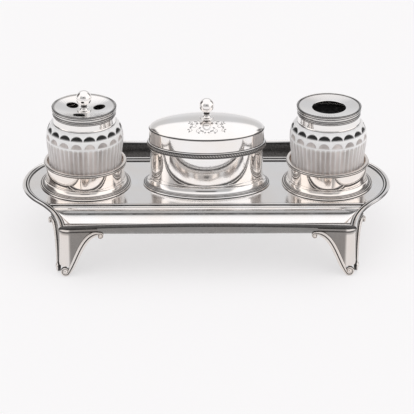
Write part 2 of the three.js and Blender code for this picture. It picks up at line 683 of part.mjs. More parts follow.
function boxLid() {
  const radii = [0, 0.4, 0.7, 0.88, 0.97, 1].map((share) => share * DOME_RADIUS);
  const inner = radii.filter((radius) => radius < LID_INNER - 1);
  const shell = oval(above([
    ...inner.map((radius) => [radius, domeHeight(radius) - LID_SHEET]),
    [LID_INNER, LID_TOP - 2.4], [LID_INNER, BOX_HEIGHT], [LID_RADIUS, BOX_HEIGHT],
    [LID_RADIUS, LID_TOP - 0.4], [DOME_RADIUS, LID_TOP],
    ...radii.slice(0, -1).reverse().map((radius) => [radius, domeHeight(radius)]),
  ]));
  return cut(shell, flangeRecess(LID_SEAT), stemHole(LID_SEAT));
}

function lidBezel() {
  const outer = BOX_INNER - LIFT_CLEARANCE;
  const inner = outer - LID_BEZEL_WALL;
  const low = DECK_TOP + BOX_HEIGHT - LID_BEZEL_DEPTH;
  const high = DECK_TOP + BOX_HEIGHT + 4;
  return oval(closed([[outer, low], [outer, high], [inner, high], [inner, low]]));
}

// ---- Finials ----------------------------------------------------------------------------

// What is cut away above a finial's seat so that its flange lies flat.
function flangeRecess(seat) {
  const radius = FINIAL_FLANGE_RADIUS + SOLDER_GAP;
  return turned(above([[0, seat], [radius, seat], [radius, seat + 3], [0, seat + 3]]), FINIAL_SEGMENTS);
}

function stemHole(seat) {
  const radius = FINIAL_STEM_RADIUS + SOLDER_GAP;
  const [low, high] = [seat - 3 * LID_SHEET, seat + 1];
  return turned(above([[0, low], [radius, low], [radius, high], [0, high]]), FINIAL_SEGMENTS);
}

// A ball on a short stem over a round flange, with a tail that passes through its seat.
function finial(seat, ballRadius, tail) {
  const stem = FINIAL_STEM_RADIUS;
  const centre = seat + FINIAL_STEM_HEIGHT + ballRadius;
  const lowest = Math.asin(1.3 * stem / ballRadius);
  const steps = 7;
  const ball = Array.from({ length: steps + 1 }, (_, i) => {
    const angle = lowest + (Math.PI - lowest) * i / steps;
    return [ballRadius * Math.sin(angle), centre - ballRadius * Math.cos(angle)];
  });
  ball[steps][0] = 0;
  return turned(above([
    [0, seat - tail], [stem, seat - tail], [stem, seat], [FINIAL_FLANGE_RADIUS, seat],
    [FINIAL_FLANGE_RADIUS - 0.2, seat + 0.6 * FINIAL_FLANGE_HEIGHT],
    [2 * stem, seat + FINIAL_FLANGE_HEIGHT],
    [stem, seat + FINIAL_FLANGE_HEIGHT + 0.9], ...ball,
  ]), FINIAL_SEGMENTS);
}

function finialNut(top) {
  const [low, high] = [DECK_TOP + top - NUT_THICKNESS, DECK_TOP + top];
  return tube(FINIAL_STEM_RADIUS + SOLDER_GAP, NUT_RADIUS, low, high, 6);
}

// ---- Assembly -----------------------------------------------------------------------------

const SILVER = { color: 0xd9d8d6, metalness: 1, roughness: 0.12 };
const GLASS = { color: 0xf2f4f3, metalness: 0, roughness: 0.05, transparent: true, opacity: 0.4 };
const PITCH = { color: 0x2a2521, metalness: 0, roughness: 0.8 };

const group = new THREE.Group();

function place(name, geometry, finish = SILVER, x = 0) {
  const mesh = new THREE.Mesh(geometry, new THREE.MeshStandardMaterial(finish));
  mesh.name = name;
  mesh.position.x = x;
  group.add(mesh);
}

place('tray_deck', trayDeck());

for (const [side, signY] of [['front', 1], ['rear', -1]]) {
  place(`${side}_pen_trough`, inQuarter(penTrough(), 1, signY));
  place(`${side}_trough_moulding`, inQuarter(troughMoulding(), 1, signY));
  const edge = borderAlong((inset) => edgeArc(inset, 12, SOLDER_GAP));
  place(`${side}_border`, inQuarter(edge, 1, signY));
}

for (const [end, signX] of [['left', -1], ['right', 1]]) {
  place(`${end}_end_border`, inQuarter(borderAlong((inset) => endArc(inset)), signX, 1));
  for (const [side, signY] of [['front', 1], ['rear', -1]]) {
    const hollow = borderAlong((inset) => sideArc(inset, 6, SOLDER_GAP));
    place(`${side}_${end}_hollow_border`, inQuarter(hollow, signX, signY));
    place(`${side}_${end}_foot_sheet`, inQuarter(footSheet(), signX, signY));
    const longStrap = strapSolid(FRONT_SCROLL, besideFront, STRAP_SECTION);
    const endStrap = strapSolid(SIDE_SCROLL, besideSide, STRAP_SECTION);
    place(`${side}_${end}_foot_long_strap`, inQuarter(longStrap, signX, signY));
    place(`${side}_${end}_foot_end_strap`, inQuarter(endStrap, signX, signY));
  }
}

for (const [end, x] of [['left', -BOTTLE_X], ['right', BOTTLE_X]]) {
  place(`${end}_gallery_wall`, galleryWall(), SILVER, x);
  place(`${end}_gallery_rim`, galleryRim(), SILVER, x);
  place(`${end}_gallery_foot`, galleryFoot(), SILVER, x);
  place(`${end}_bottle`, glassBottle(), GLASS, x);
  place(`${end}_bottle_collar`, bottleCollar(), SILVER, x);
  place(`${end}_collar_pitch`, collarPitch(), PITCH, x);
}

place('quill_cover', quillCover(), SILVER, -BOTTLE_X);
const quillTail = COVER_SHEET + NUT_THICKNESS;
place('quill_finial', finial(QUILL_SEAT, QUILL_BALL_RADIUS, quillTail), SILVER, -BOTTLE_X);
place('quill_finial_nut', finialNut(QUILL_SEAT - COVER_SHEET), SILVER, -BOTTLE_X);
place('ink_cover', dishedCover(INK_COVER_DISH, INK_HOLE_RADIUS), SILVER, BOTTLE_X);

place('box_wall', boxWall());
place('box_floor', boxFloor());
place('box_foot', boxFoot());
place('box_rim', boxRim());
place('box_lid', boxLid());
place('box_lid_bezel', lidBezel());
place('box_finial', finial(LID_SEAT, BOX_BALL_RADIUS, LID_SHEET + NUT_THICKNESS));
place('box_finial_nut', finialNut(LID_NUT_TOP));

export default group;
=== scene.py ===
"""Silver inkstand: a footed tray with two pen troughs, two galleries that hold cut-glass bottles
under silver covers, and an oval box with a lift-off domed lid. Shapes are in millimetres in the
frame's axes and become metres when a mesh is made."""

import math

import bmesh
import bpy
import numpy as np
from mathutils import Matrix, Vector

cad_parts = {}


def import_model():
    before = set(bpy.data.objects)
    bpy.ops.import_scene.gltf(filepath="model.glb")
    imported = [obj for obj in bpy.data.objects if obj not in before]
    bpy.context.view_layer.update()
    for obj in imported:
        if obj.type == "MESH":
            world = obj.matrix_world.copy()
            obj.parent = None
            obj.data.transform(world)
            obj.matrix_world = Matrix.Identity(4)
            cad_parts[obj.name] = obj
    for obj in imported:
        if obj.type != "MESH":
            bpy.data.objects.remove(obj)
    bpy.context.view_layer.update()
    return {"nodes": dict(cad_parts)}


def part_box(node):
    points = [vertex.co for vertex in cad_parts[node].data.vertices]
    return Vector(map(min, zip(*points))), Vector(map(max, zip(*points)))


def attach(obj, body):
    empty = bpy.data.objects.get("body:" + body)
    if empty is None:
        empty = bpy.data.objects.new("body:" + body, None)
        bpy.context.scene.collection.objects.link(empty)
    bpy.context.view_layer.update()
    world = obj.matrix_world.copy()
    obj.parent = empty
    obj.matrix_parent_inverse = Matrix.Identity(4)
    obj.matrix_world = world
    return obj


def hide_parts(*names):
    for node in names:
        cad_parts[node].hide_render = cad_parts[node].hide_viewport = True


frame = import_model()

MM = 0.001
FULL_TURN = 2 * math.pi


def toward(angle):
    return np.array([math.cos(angle), math.sin(angle)])


# ---- Sizes taken from the frame ----

def span(node):
    """Lowest and highest corner of a CAD node, in millimetres."""
    low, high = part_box(node)
    return np.array(low) / MM, np.array(high) / MM


def reach(node):
    """Half the length of a CAD node along X, which is a round or oval node's radius."""
    low, high = span(node)
    return (high[0] - low[0]) / 2


def over_deck(node):
    """How far over the deck a CAD node starts and ends."""
    low, high = span(node)
    return low[2] - DECK, high[2] - DECK


DECK = span("tray_deck")[1][2]
DECK_UNDERSIDE = span("tray_deck")[0][2]
TIP_X = span("right_end_border")[1][0]
CORNER_X = span("front_border")[1][0]
CORNER_Y = -span("front_border")[0][1]
BOTTLE_X = float(np.mean([span("right_bottle")[0][0], span("right_bottle")[1][0]]))

GALLERY_RADIUS = reach("left_gallery_wall")
GALLERY_FOOT_RADIUS = reach("left_gallery_foot")
GALLERY_RIM_RADIUS = reach("left_gallery_rim")
GALLERY_TOP = over_deck("left_gallery_rim")[1]
GALLERY_WALL_TOP = over_deck("left_gallery_wall")[1]
GLASS_WIDEST = reach("left_bottle")
COLLAR_LOW, COLLAR_TOP = over_deck("left_bottle_collar")
COVER_RADIUS = reach("ink_cover")
BEZEL_LOW, COVER_TOP = over_deck("ink_cover")

BOX_RADIUS = reach("box_wall")
BOX_DEPTH = span("box_wall")[1][1]
BOX_TOP = over_deck("box_wall")[1]
BOX_FOOT_RADIUS = reach("box_foot")
BOX_RIM_RADIUS = reach("box_rim")
BOX_RIM_LOW = over_deck("box_rim")[0]
LID_REACH = reach("box_lid")
LID_BEZEL_RADIUS = reach("box_lid_bezel")

TROUGH_BACK = -span("front_pen_trough")[1][1]
MOULDING_FRONT = -span("front_trough_moulding")[0][1]
MOULDING_WIDTH = MOULDING_FRONT + span("front_trough_moulding")[1][1]


# ---- Outlines ----

GROOVE_REACH = 0.55                # how far patina and painted shade spread from the bottom of a groove
GROOVE_BEND = 0.25                 # bends that turn in by less, in radians, stay bright
DEEP_BEND = 0.6                    # bends that turn in by more are fully darkened
LONG_LINE = 2.4                    # a straight line that long takes more stops near its ends
NEAR_STOPS = (0.3, 0.6, 0.9)
SHARP_EDGE = 38                    # degrees between faces


def outline(*stops, steps=6):
    """Points along straight lines and arcs. A stop is (x, y), or (x, y, rise) where an arc that
    rises that far over its chord, on the right of the way there, leads to it."""
    points = [np.array(stops[0][:2], float)]
    for stop in stops[1:]:
        start, end = points[-1], np.array(stop[:2], float)
        if len(stop) > 2 and stop[2]:
            points.extend(arc_over(start, end, stop[2], steps))
        points.append(end)
    return np.array(points)


def closed_outline(*stops, steps=6):
    return outline(*stops, stops[0][:2], steps=steps)


def arc_over(start, end, rise, steps):
    chord = end - start
    length = float(np.hypot(*chord))
    along = chord / length
    right = np.array([along[1], -along[0]])
    half = 2 * math.atan(2 * abs(rise) / length)
    radius = length / (2 * math.sin(half))
    for i in range(1, steps):
        turn = half * (2 * i / steps - 1)
        over = radius * (math.cos(turn) - math.cos(half))
        yield (start + end) / 2 + along * radius * math.sin(turn) + right * math.copysign(over, rise)


def hollows(points, closed, seams=(), reach_out=GROOVE_REACH):
    """How far each point of an outline lies in a groove, from 0 to 1. The solid is on the left.
    Seams are further places where the outline meets another piece."""
    ahead = np.roll(points, -1, axis=0) - points
    behind = points - np.roll(points, 1, axis=0)
    cross = behind[:, 0] * ahead[:, 1] - behind[:, 1] * ahead[:, 0]
    turn = np.arctan2(cross, (behind * ahead).sum(axis=1))
    depth = np.clip((-turn - GROOVE_BEND) / (DEEP_BEND - GROOVE_BEND), 0, 1)
    if not closed:
        depth[[0, -1]] = 0
    grooves = np.concatenate([points, np.reshape(seams, (-1, 2))])
    depth = np.concatenate([depth, np.ones(len(seams))])
    apart = np.hypot(*(points[:, None] - grooves[None]).transpose(2, 0, 1))
    return (depth[None] * np.clip(1.5 - apart / reach_out, 0, 1)).max(axis=1)


def refined(points):
    """Adds stops near the ends of long straight lines, so that the patina and painted shade stay in the grooves."""
    made = [points[0]]
    for start, end in zip(points[:-1], points[1:]):
        length = float(np.hypot(*(end - start)))
        if length > LONG_LINE:
            places = (*NEAR_STOPS, *(length - t for t in NEAR_STOPS[::-1]))
            made += [start + (end - start) * t / length for t in places]
        made.append(end)
    return np.array(made)


# ---- Meshes ----

def make_piece(name, points, faces, finish, body="tray", nodes=None, at=(0, 0, 0), **marks):
    """A smooth piece from points in millimetres about the place `at`, riding on a CAD body. It
    replaces the CAD node of its own name, unless nodes says otherwise. Marks are values for each
    point, such as its darkening, part patina and part painted shade, which the materials read."""
    mesh = bpy.data.meshes.new(name)
    mesh.from_pydata((np.asarray(points) * MM).tolist(), [], faces)
    for mark, values in marks.items():
        mesh.attributes.new(mark, "FLOAT", "POINT").data.foreach_set("value", np.ravel(values))
    tidy(mesh)
    mesh.materials.append(finish)
    obj = placed(name, mesh)
    obj.location = Vector(at) * MM
    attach(obj, body)
    nodes = [name] if nodes is None else nodes
    if nodes:
        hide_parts(*nodes)
    return obj


def placed(name, data):
    obj = bpy.data.objects.new(name, data)
    bpy.context.scene.collection.objects.link(obj)
    return obj


def tidy(mesh):
    """Merges doubled points, turns the faces outwards and smooths all but the sharp edges."""
    work = bmesh.new()
    work.from_mesh(mesh)
    bmesh.ops.remove_doubles(work, verts=work.verts, dist=1e-6)
    bmesh.ops.dissolve_degenerate(work, edges=work.edges, dist=1e-7)
    bmesh.ops.recalc_face_normals(work, faces=work.faces)
    work.to_mesh(mesh)
    work.free()
    mesh.polygons.foreach_set("use_smooth", [True] * len(mesh.polygons))
    mesh.set_sharp_from_angle(angle=math.radians(SHARP_EDGE))


def grid_faces(rows, columns, wrap_rows, wrap_columns):
    """Quads of a grid of points, row by row."""
    faces = []
    for i in range(rows if wrap_rows else rows - 1):
        for j in range(columns if wrap_columns else columns - 1):
            here, there = i * columns, (i + 1) % rows * columns
            across = (j + 1) % columns
            faces.append((here + j, here + across, there + across, there + j))
    return faces


def swept(name, rings, tarnish, **kept):
    """Joins rings of points, one for each stop of a path, and caps both ends. The darkening, part
    patina and part painted shade, is that of one ring's points, or has a row for each ring."""
    rings = np.asarray(rings, float)
    count, size = rings.shape[:2]
    faces = grid_faces(count, size, False, True)
    faces.append(tuple(range(size)))
    faces.append(tuple((count - 1) * size + j for j in reversed(range(size))))
    tarnish = np.broadcast_to(tarnish, (count, size))
    return make_piece(name, rings.reshape(-1, 3), faces, tarnish=tarnish, **kept)


def turned(name, profile, segments=144, oval=False, shaped=None, marks=None, **kept):
    """A solid of revolution. The profile runs up the outside and down the inside and closes, or
    runs from axis to axis. shaped changes the grid of points before the mesh is made, and marks
    gives the grid's own marks. The foot of the outside is a seam."""
    profile = refined(np.asarray(profile, float))
    profile = profile if profile[0][0] == 0 else profile[:-1]
    closed = profile[0][0] > 0
    angles = np.arange(segments) * FULL_TURN / segments
    radius, height = profile[:, :1], profile[:, 1:]
    depth = oval_depth(radius) if oval else radius
    grid = np.stack([
        radius * np.cos(angles), depth * np.sin(angles), height + 0 * angles], axis=-1)
    if shaped:
        grid = shaped(grid, angles)
    faces = grid_faces(len(profile), segments, closed, True)
    low = profile[profile[:, 1] < profile[:, 1].min() + 0.02]
    # Grooves and the seam at the foot darken: part patina, part painted shade.
    tarnish = np.repeat(hollows(profile, closed, [low[np.argmax(low[:, 0])]]), segments)
    values = {"tarnish": tarnish.reshape(grid.shape[:2])}
    if marks:
        values.update(marks(grid, angles, values["tarnish"]))
    return make_piece(name, grid.reshape(-1, 3), faces, **values, **kept)


OVAL_RIM = 5                       # how far in from the wall the ovals stay parallel to it


def oval_depth(radius):
    """Half the depth of the oval whose half-length is the given radius."""
    core = BOX_RADIUS - OVAL_RIM
    difference = BOX_RADIUS - BOX_DEPTH
    return np.where(radius > core, radius - difference, radius * (1 - difference / core))


# ---- Materials ----

class Nodes:
    """A short way to build a material's node tree."""

    def __init__(self, name):
        self.material = bpy.data.materials.new(name)
        self.material.use_nodes = True
        self.tree = self.material.node_tree
        self.shader = self.tree.nodes["Principled BSDF"]
        self.output = self.tree.nodes["Material Output"]

    def add(self, kind, **settings):
        node = self.tree.nodes.new("ShaderNode" + kind)
        for key, value in settings.items():
            if key[0].isupper():
                node.inputs[key.replace("_", " ")].default_value = value
            else:
                setattr(node, key, value)
        return node

    def link(self, start, end):
        self.tree.links.new(start, end)

    def fill(self, sockets, values):
        for socket, value in zip(sockets, values):
            if isinstance(value, bpy.types.NodeSocket):
                self.link(value, socket)
            else:
                socket.default_value = value

    def math(self, operation, first, second):
        node = self.add("Math", operation=operation)
        self.fill(node.inputs, (first, second))
        return node.outputs[0]

    def noise(self, scale, detail=3.0, stretch=(1, 1, 1)):
        place = self.add("TexCoord")
        mapping = self.add("Mapping", Scale=stretch)
        texture = self.add("TexNoise", Scale=scale, Detail=detail)
        self.link(place.outputs["Object"], mapping.inputs["Vector"])
        self.link(mapping.outputs["Vector"], texture.inputs["Vector"])
        return texture.outputs["Fac"]

    def spread(self, value, low, high):
        """Maps a noise's usual range, 0.3 to 0.7, onto the range low to high."""
        node = self.add("MapRange", From_Min=0.3, From_Max=0.7, To_Min=low, To_Max=high)
        self.link(value, node.inputs["Value"])
        return node.outputs["Result"]

    def mark(self, name):
        return self.add("Attribute", attribute_name=name).outputs["Fac"]

    def bump(self, height, strength, distance, under=None):
        """The normal of a surface with that height, over another such normal if there is one."""
        node = self.add("Bump", Strength=strength, Distance=distance)
        self.link(height, node.inputs["Height"])
        if under:
            self.link(under, node.inputs["Normal"])
        return node.outputs["Normal"]

    def blend(self, share, first, second):
        """Mixes two shaders."""
        node = self.add("MixShader")
        self.fill(node.inputs, (share, first, second))
        return node.outputs[0]

    def mix(self, share, first, second):
        """Mixes two colours."""
        node = self.add("Mix", data_type="RGBA")
        colours = [s for s in node.inputs if s.type == "RGBA"]
        self.fill([node.inputs["Factor"], *colours], (share, first, second))
        return next(s for s in node.outputs if s.type == "RGBA")


SILVER = (0.93, 0.925, 0.925, 1)
BEIGE_SILVER = (0.94, 0.90, 0.87, 1)
WARM_FILM = (0.98, 0.93, 0.88, 1)
# Darker silver of the feet: a painted shade for the shadowed floor they reflect.
SHADED_FOOT_TONE = (0.80, 0.765, 0.74, 1)
# Dull silver for undersides and trough outsides; its dark tone is a painted shade for the shadow under the tray.
DULL_SHADED_SILVER = (0.30, 0.295, 0.29, 1)
RING_SCALE = 240                   # turning marks about 1.3 mm apart
# Dark colour of the darkening mark: patina in the grooves, and painted shade and painted dark reflections elsewhere.
TARNISH_AND_SHADE = (0.02, 0.018, 0.017, 1)


def silver(name, roughness=0.06, waves=0.06, brushed=(1, 1, 1), tone=SILVER, turned_marks=0.0):
    """Polished silver: a warm film in places, dark grooves that are part patina and part painted shade, painted dark
    reflection bands where the marks put them, slight dents and cleaning scratches.
    """
    n = Nodes(name)
    film = n.spread(n.noise(38), 0, 0.7)
    warm = [a * b for a, b in zip(tone, WARM_FILM)]
    # The darkening mark, part patina and part painted shade, mixes the base colour towards the dark.
    groove = n.mark("tarnish")
    darkening_share = n.math("MULTIPLY", groove, n.spread(n.noise(900), 0.94, 1.0))
    colour = n.mix(darkening_share, n.mix(film, tone, warm), TARNISH_AND_SHADE)
    n.link(colour, n.shader.inputs["Base Color"])
    n.shader.inputs["Metallic"].default_value = 1.0
    rough = n.spread(n.noise(160), 0.7 * roughness, 1.4 * roughness)
    n.link(n.math("ADD", rough, n.math("MULTIPLY", groove, 0.15)), n.shader.inputs["Roughness"])
    dents = n.bump(n.noise(45, detail=1.5), waves, 0.002)
    scratches = n.bump(n.noise(2400, stretch=brushed), 0.05, 0.0001, dents)
    rings = n.add("TexWave", wave_type="RINGS", rings_direction="Z", Scale=RING_SCALE, Distortion=0.6)
    n.link(n.add("TexCoord").outputs["Object"], rings.inputs["Vector"])
    lathe = n.bump(rings.outputs["Fac"], turned_marks, 0.0001, scratches)
    n.link(lathe, n.shader.inputs["Normal"])
    return n.material


WHITE = (1, 1, 1, 1)
# Painted shade: the upper cuts and the neck's inside take this dark tint.
DARK_GLASS = (0.02, 0.02, 0.02, 1)
FLUTE_TONE = (0.36, 0.29, 0.26, 1)
PALE_FLUTE_TONE = (0.88, 0.79, 0.75, 1)


def cut_glass():
    """Lead crystal under a misty skin. The upper cuts, next to the collar, and the neck's inside are painted dark, a
    painted shade in place of dark reflections.
    """
    n = Nodes("cut_glass")
    n.link(n.mix(n.mark("tarnish"), WHITE, DARK_GLASS), n.shader.inputs["Base Color"])
    n.shader.inputs["Transmission Weight"].default_value = 1.0
    n.shader.inputs["IOR"].default_value = 1.54
    n.link(n.spread(n.noise(220), 0.0, 0.05), n.shader.inputs["Roughness"])
    n.link(n.bump(n.noise(500, stretch=(1, 1, 0.2)), 0.08, 0.0002), n.shader.inputs["Normal"])
    cloudy = n.mix(n.spread(n.noise(90, stretch=(1, 1, 0.15)), 0, 1), FLUTE_TONE, PALE_FLUTE_TONE)
    skin = n.add("BsdfDiffuse")
    # Painted highlight and shade: the brightness mark whitens the skin, more at the sides, less in the flutes and
    # towards the bottom.
    n.link(n.mix(n.mark("bright"), cloudy, WHITE), skin.inputs["Color"])
    behind = n.add("BsdfTranslucent", Color=WHITE)
    milk = n.blend(0.1, skin.outputs[0], behind.outputs[0])
    ground = n.math("MAXIMUM", n.mark("bright"), n.spread(n.noise(60, stretch=(1, 1, 0.3)), 0.5, 0.85))
    haze = n.math("MULTIPLY", n.mark("mist"), ground)
    misted = n.blend(haze, n.shader.outputs[0], milk)
    dark = n.add("BsdfDiffuse", Color=(0.03, 0.03, 0.03, 1))
    # Painted shade: the dark mark blends in a dark diffuse on the upper cuts and the neck's inside.
    cut = n.blend(n.math("MULTIPLY", n.mark("tarnish"), 0.8), misted, dark.outputs[0])
    shadow = n.add("LightPath").outputs["Is Shadow Ray"]
    n.link(n.blend(shadow, cut, n.add("BsdfTransparent").outputs[0]), n.output.inputs["Surface"])
    return n.material


def pitch():
    """Old dark pitch with a dull, grainy face."""
    n = Nodes("pitch")
    colour = n.mix(n.spread(n.noise(700), 0, 1), (0.02, 0.017, 0.014, 1), (0.05, 0.042, 0.035, 1))
    n.link(colour, n.shader.inputs["Base Color"])
    n.shader.inputs["Roughness"].default_value = 0.75
    n.link(n.bump(n.noise(1500), 0.4, 0.0003), n.shader.inputs["Normal"])
    return n.material


TRAY_SILVER = silver("tray_silver", roughness=0.13, waves=0.01, brushed=(0.1, 1, 1))
BORDER_SILVER = silver("border_silver", roughness=0.08, waves=0.02)
FOOT_SILVER = silver("foot_silver", roughness=0.14, waves=0.05, tone=SHADED_FOOT_TONE)
UNDERSIDE_SILVER = silver("underside_silver", roughness=0.3, waves=0.05, tone=DULL_SHADED_SILVER)
GALLERY_SILVER = silver("gallery_silver", roughness=0.05, waves=0.06, brushed=(1, 1, 0.1),
                        tone=BEIGE_SILVER)
MOUNT_SILVER = silver("mount_silver", roughness=0.08, waves=0.03, brushed=(1, 1, 0.1), turned_marks=0.35)
BOX_SILVER = silver("box_silver", roughness=0.06, waves=0.06, brushed=(1, 1, 0.1))
FINIAL_SILVER = silver("finial_silver", roughness=0.05, waves=0.02)
GLASS = cut_glass()
PITCH = pitch()


# ---- The tray's outline ----
# Arcs for the front right quarter: a round end, a hollow side next to the corner and a long
# edge that bows in. Each line takes its inset from the edge, so that all run parallel.

END_RADIUS = 60
SIDE_RADIUS = 85.7
EDGE_BOW = 4.4
BORDER_WIDTH = 5.7

END_CENTRE = np.array([TIP_X - END_RADIUS, 0])
EDGE_RADIUS = (CORNER_X ** 2 + EDGE_BOW ** 2) / (2 * EDGE_BOW)
EDGE_CENTRE = np.array([0, EDGE_BOW - CORNER_Y - EDGE_RADIUS])


def crossing(first, first_radius, second, second_radius):
    """The crossing of two circles on the right of the line from the first to the second."""
    across = second - first
    distance = float(np.hypot(*across))
    unit = across / distance
    along = (distance ** 2 + first_radius ** 2 - second_radius ** 2) / (2 * distance)
    aside = math.sqrt(first_radius ** 2 - along ** 2)
    return first + along * unit + aside * np.array([unit[1], -unit[0]])


SIDE_CENTRE = crossing(
    np.array([CORNER_X, -CORNER_Y]), SIDE_RADIUS, END_CENTRE, END_RADIUS + SIDE_RADIUS)


def corner_at(inset):
    return crossing(SIDE_CENTRE, SIDE_RADIUS + inset, EDGE_CENTRE, EDGE_RADIUS + inset)


def angle_from(centre, point):
    return math.atan2(point[1] - centre[1], point[0] - centre[0])


def arc(centre, radius, start, finish, steps):
    return np.array([centre + radius * toward(a) for a in np.linspace(start, finish, steps + 1)])


BLEND_ANGLE = angle_from(END_CENTRE, SIDE_CENTRE)


def end_line(inset):
    return arc(END_CENTRE, END_RADIUS - inset, BLEND_ANGLE, -BLEND_ANGLE, 60)


def side_line(inset, steps=30):
    start = angle_from(SIDE_CENTRE, corner_at(inset)) % FULL_TURN
    return arc(SIDE_CENTRE, SIDE_RADIUS + inset, start, BLEND_ANGLE + math.pi, steps)


def edge_line(inset):
    start = angle_from(EDGE_CENTRE, corner_at(inset))
    return arc(EDGE_CENTRE, EDGE_RADIUS + inset, math.pi - start, start, 48)


def half_length(y, inset):
    """How far the tray's front hollow corner reaches along X at a given Y."""
    return SIDE_CENTRE[0] - math.sqrt((SIDE_RADIUS + inset) ** 2 - (y - SIDE_CENTRE[1]) ** 2)


# ---- Tray ----

QUARTERS = [(side, end, sx, sy) for side, sy in (("front", 1), ("rear", -1))
            for end, sx in (("left", -1), ("right", 1))]

# As (inset, height over the deck): the underside, a small inner reed and a bold outer one.
BORDER_SECTION = closed_outline(
    (1.0, -0.9), (2.0, -0.9), (2.0, 0.0), (BORDER_WIDTH, 0.0), (BORDER_WIDTH, 0.3), (5.1, 0.4),
    (3.6, 0.4, 0.6), (3.1, 0.15), (0.1, 0.1, 1.2), (0.3, -0.4), (0.5, -0.75))
# Ranges of the inset that take painted dark reflections, on most of the border and on its front length.
BORDER_PAINTED_BANDS = ((0, 0.35), (3.0, 3.4), (5.2, BORDER_WIDTH))
FRONT_PAINTED_BANDS = ((0, 2.4), (4.9, BORDER_WIDTH))
# How dark the painted reflection bands are.
PAINTED_BAND_SHADE = 0.95


def banded(section, dark):
    """Darkening of a section: its grooves, part patina and part painted shade, and painted dark reflections over the
    given ranges of its width.
    """
    tarnish = hollows(section, True)
    for low, high in dark:
        inside = (section[:, 0] > low - 0.01) & (section[:, 0] < high + 0.01)
        tarnish = np.where(inside, np.maximum(tarnish, PAINTED_BAND_SHADE), tarnish)
    return tarnish


def border(name, line, flip, dark=BORDER_PAINTED_BANDS):
    lines = [line(inset) for inset, _ in BORDER_SECTION]
    heights = DECK + BORDER_SECTION[:, 1]
    rings = [[(*lines[j][i], heights[j]) for j in range(len(heights))] for i in range(len(lines[0]))]
    return swept(name, np.array(rings)[:, :-1] * (*flip, 1), banded(BORDER_SECTION[:-1], dark),
                 finish=BORDER_SILVER)


def borders():
    border("front_border", edge_line, (1, 1), FRONT_PAINTED_BANDS)
    border("rear_border", edge_line, (1, -1))
    for end, flip in (("left", -1), ("right", 1)):
        border(f"{end}_end_border", end_line, (flip, 1))
    for side, end, sx, sy in QUARTERS:
        border(f"{side}_{end}_hollow_border", side_line, (sx, sy))


TROUGH_RADIUS = 14.8
TROUGH_WALL = 0.8
TROUGH_RISE = 1.1                  # of the trough's axis over the deck
TROUGH_END_SLOPE = 0.84            # inward run of the end walls per unit of depth
MOUTH_INSET = 5.0
TROUGH_BLEND = 1.6                 # softness of the fold between end wall and trough


def trough(side, flip, wall_shade):
    """The trough's inside as a sheet over its mouth, thickened outwards, with painted shade on one long wall."""
    axis_y = -(TROUGH_BACK + TROUGH_RADIUS - TROUGH_WALL)
    axis_z = DECK + TROUGH_RISE
    widest = math.acos(TROUGH_RISE / TROUGH_RADIUS)
    rows = []
    turns = np.linspace(-widest, widest, 49)
    for turn in turns:
        y = axis_y + TROUGH_RADIUS * math.sin(turn)
        low = axis_z - TROUGH_RADIUS * math.cos(turn)
        mouth = half_length(y, MOUTH_INSET)
        inward = (1 - np.cos(np.linspace(0, math.pi / 2, 25))) * 20
        ends = [(mouth - run, y, trough_height(low, run)) for run in inward]
        rows.append([(-x, y, z) for x, y, z in ends] + ends[::-1])
    grid = np.array(rows) * (1, flip, 1)
    faces = grid_faces(*grid.shape[:2], False, False)
    depth = (DECK - grid[..., 2]) / (TROUGH_RADIUS - TROUGH_RISE)
    seam = np.clip(1 - depth / 0.05, 0, 1) * (turns[:, None] < widest - 0.01)
    # Painted shade on the wall, in place of its dark reflections.
    shaded_wall = wall_shade * np.clip(depth / 0.06, 0, 1) * np.clip(-1.8 * turns[:, None] - 0.2, 0, 1)
    obj = make_piece(f"{side}_pen_trough", grid.reshape(-1, 3), faces, TRAY_SILVER,
                     tarnish=np.maximum(seam, shaded_wall))
    thicken(obj, TROUGH_WALL, UNDERSIDE_SILVER)


def trough_height(low, run):
    """The end wall falls with its slope and runs softly into the trough's bottom."""
    wall = DECK - run / TROUGH_END_SLOPE
    return 0.5 * (wall + low + math.hypot(wall - low, TROUGH_BLEND)) if low < DECK - 0.01 else DECK


def thicken(obj, thickness, outside):
    """Adds a wall on the underside of an open sheet, with its own finish outside."""
    work = bmesh.new()
    work.from_mesh(obj.data)
    for face in work.faces:
        face.normal_update()
    if sum(face.normal.z for face in work.faces) < 0:
        bmesh.ops.reverse_faces(work, faces=work.faces)
    work.to_mesh(obj.data)
    work.free()
    wall = obj.modifiers.new("wall", "SOLIDIFY")
    wall.thickness = thickness * MM
    wall.offset = -1
    wall.use_even_offset = True
    obj.data.materials.append(outside)
    wall.material_offset = 1


MOULDING_PAINTED_BANDS = ((1.5, 4.5), (6.6, 7.6))    # ranges of the distance from the trough that take painted dark reflections


def moulding(side, flip):
    """Three reeds across the deck behind a trough; its ends meet the border."""
    width = MOULDING_WIDTH
    section = closed_outline(
        (width, 0), (width, 0.4), (6.6, 0.45, 0.2), (6.5, 0.6), (4.8, 0.6, 0.35), (4.6, 0.3),
        (1.6, 0.3, 0.3), (1.4, 0.45), (0, 0.5, 0.5), (0, 0), steps=8)[:-1]
    rings = []
    for way in (-1, 1):
        ends = []
        for back, height in section:
            y = MOULDING_FRONT - back
            ends.append((way * end_reach(y), -y * flip, DECK + height))
        rings.append(ends)
    swept(f"{side}_trough_moulding", rings, banded(section, MOULDING_PAINTED_BANDS), finish=BORDER_SILVER)


def end_reach(depth, inset=BORDER_WIDTH):
    """How far the tray reaches along X at a distance from the middle, by its end or its hollow."""
    blend = END_CENTRE + (END_RADIUS - inset) * toward(BLEND_ANGLE)
    if depth > -blend[1]:
        return half_length(-depth, inset)
    return END_CENTRE[0] + math.sqrt((END_RADIUS - inset) ** 2 - depth ** 2)


# ---- Feet ----

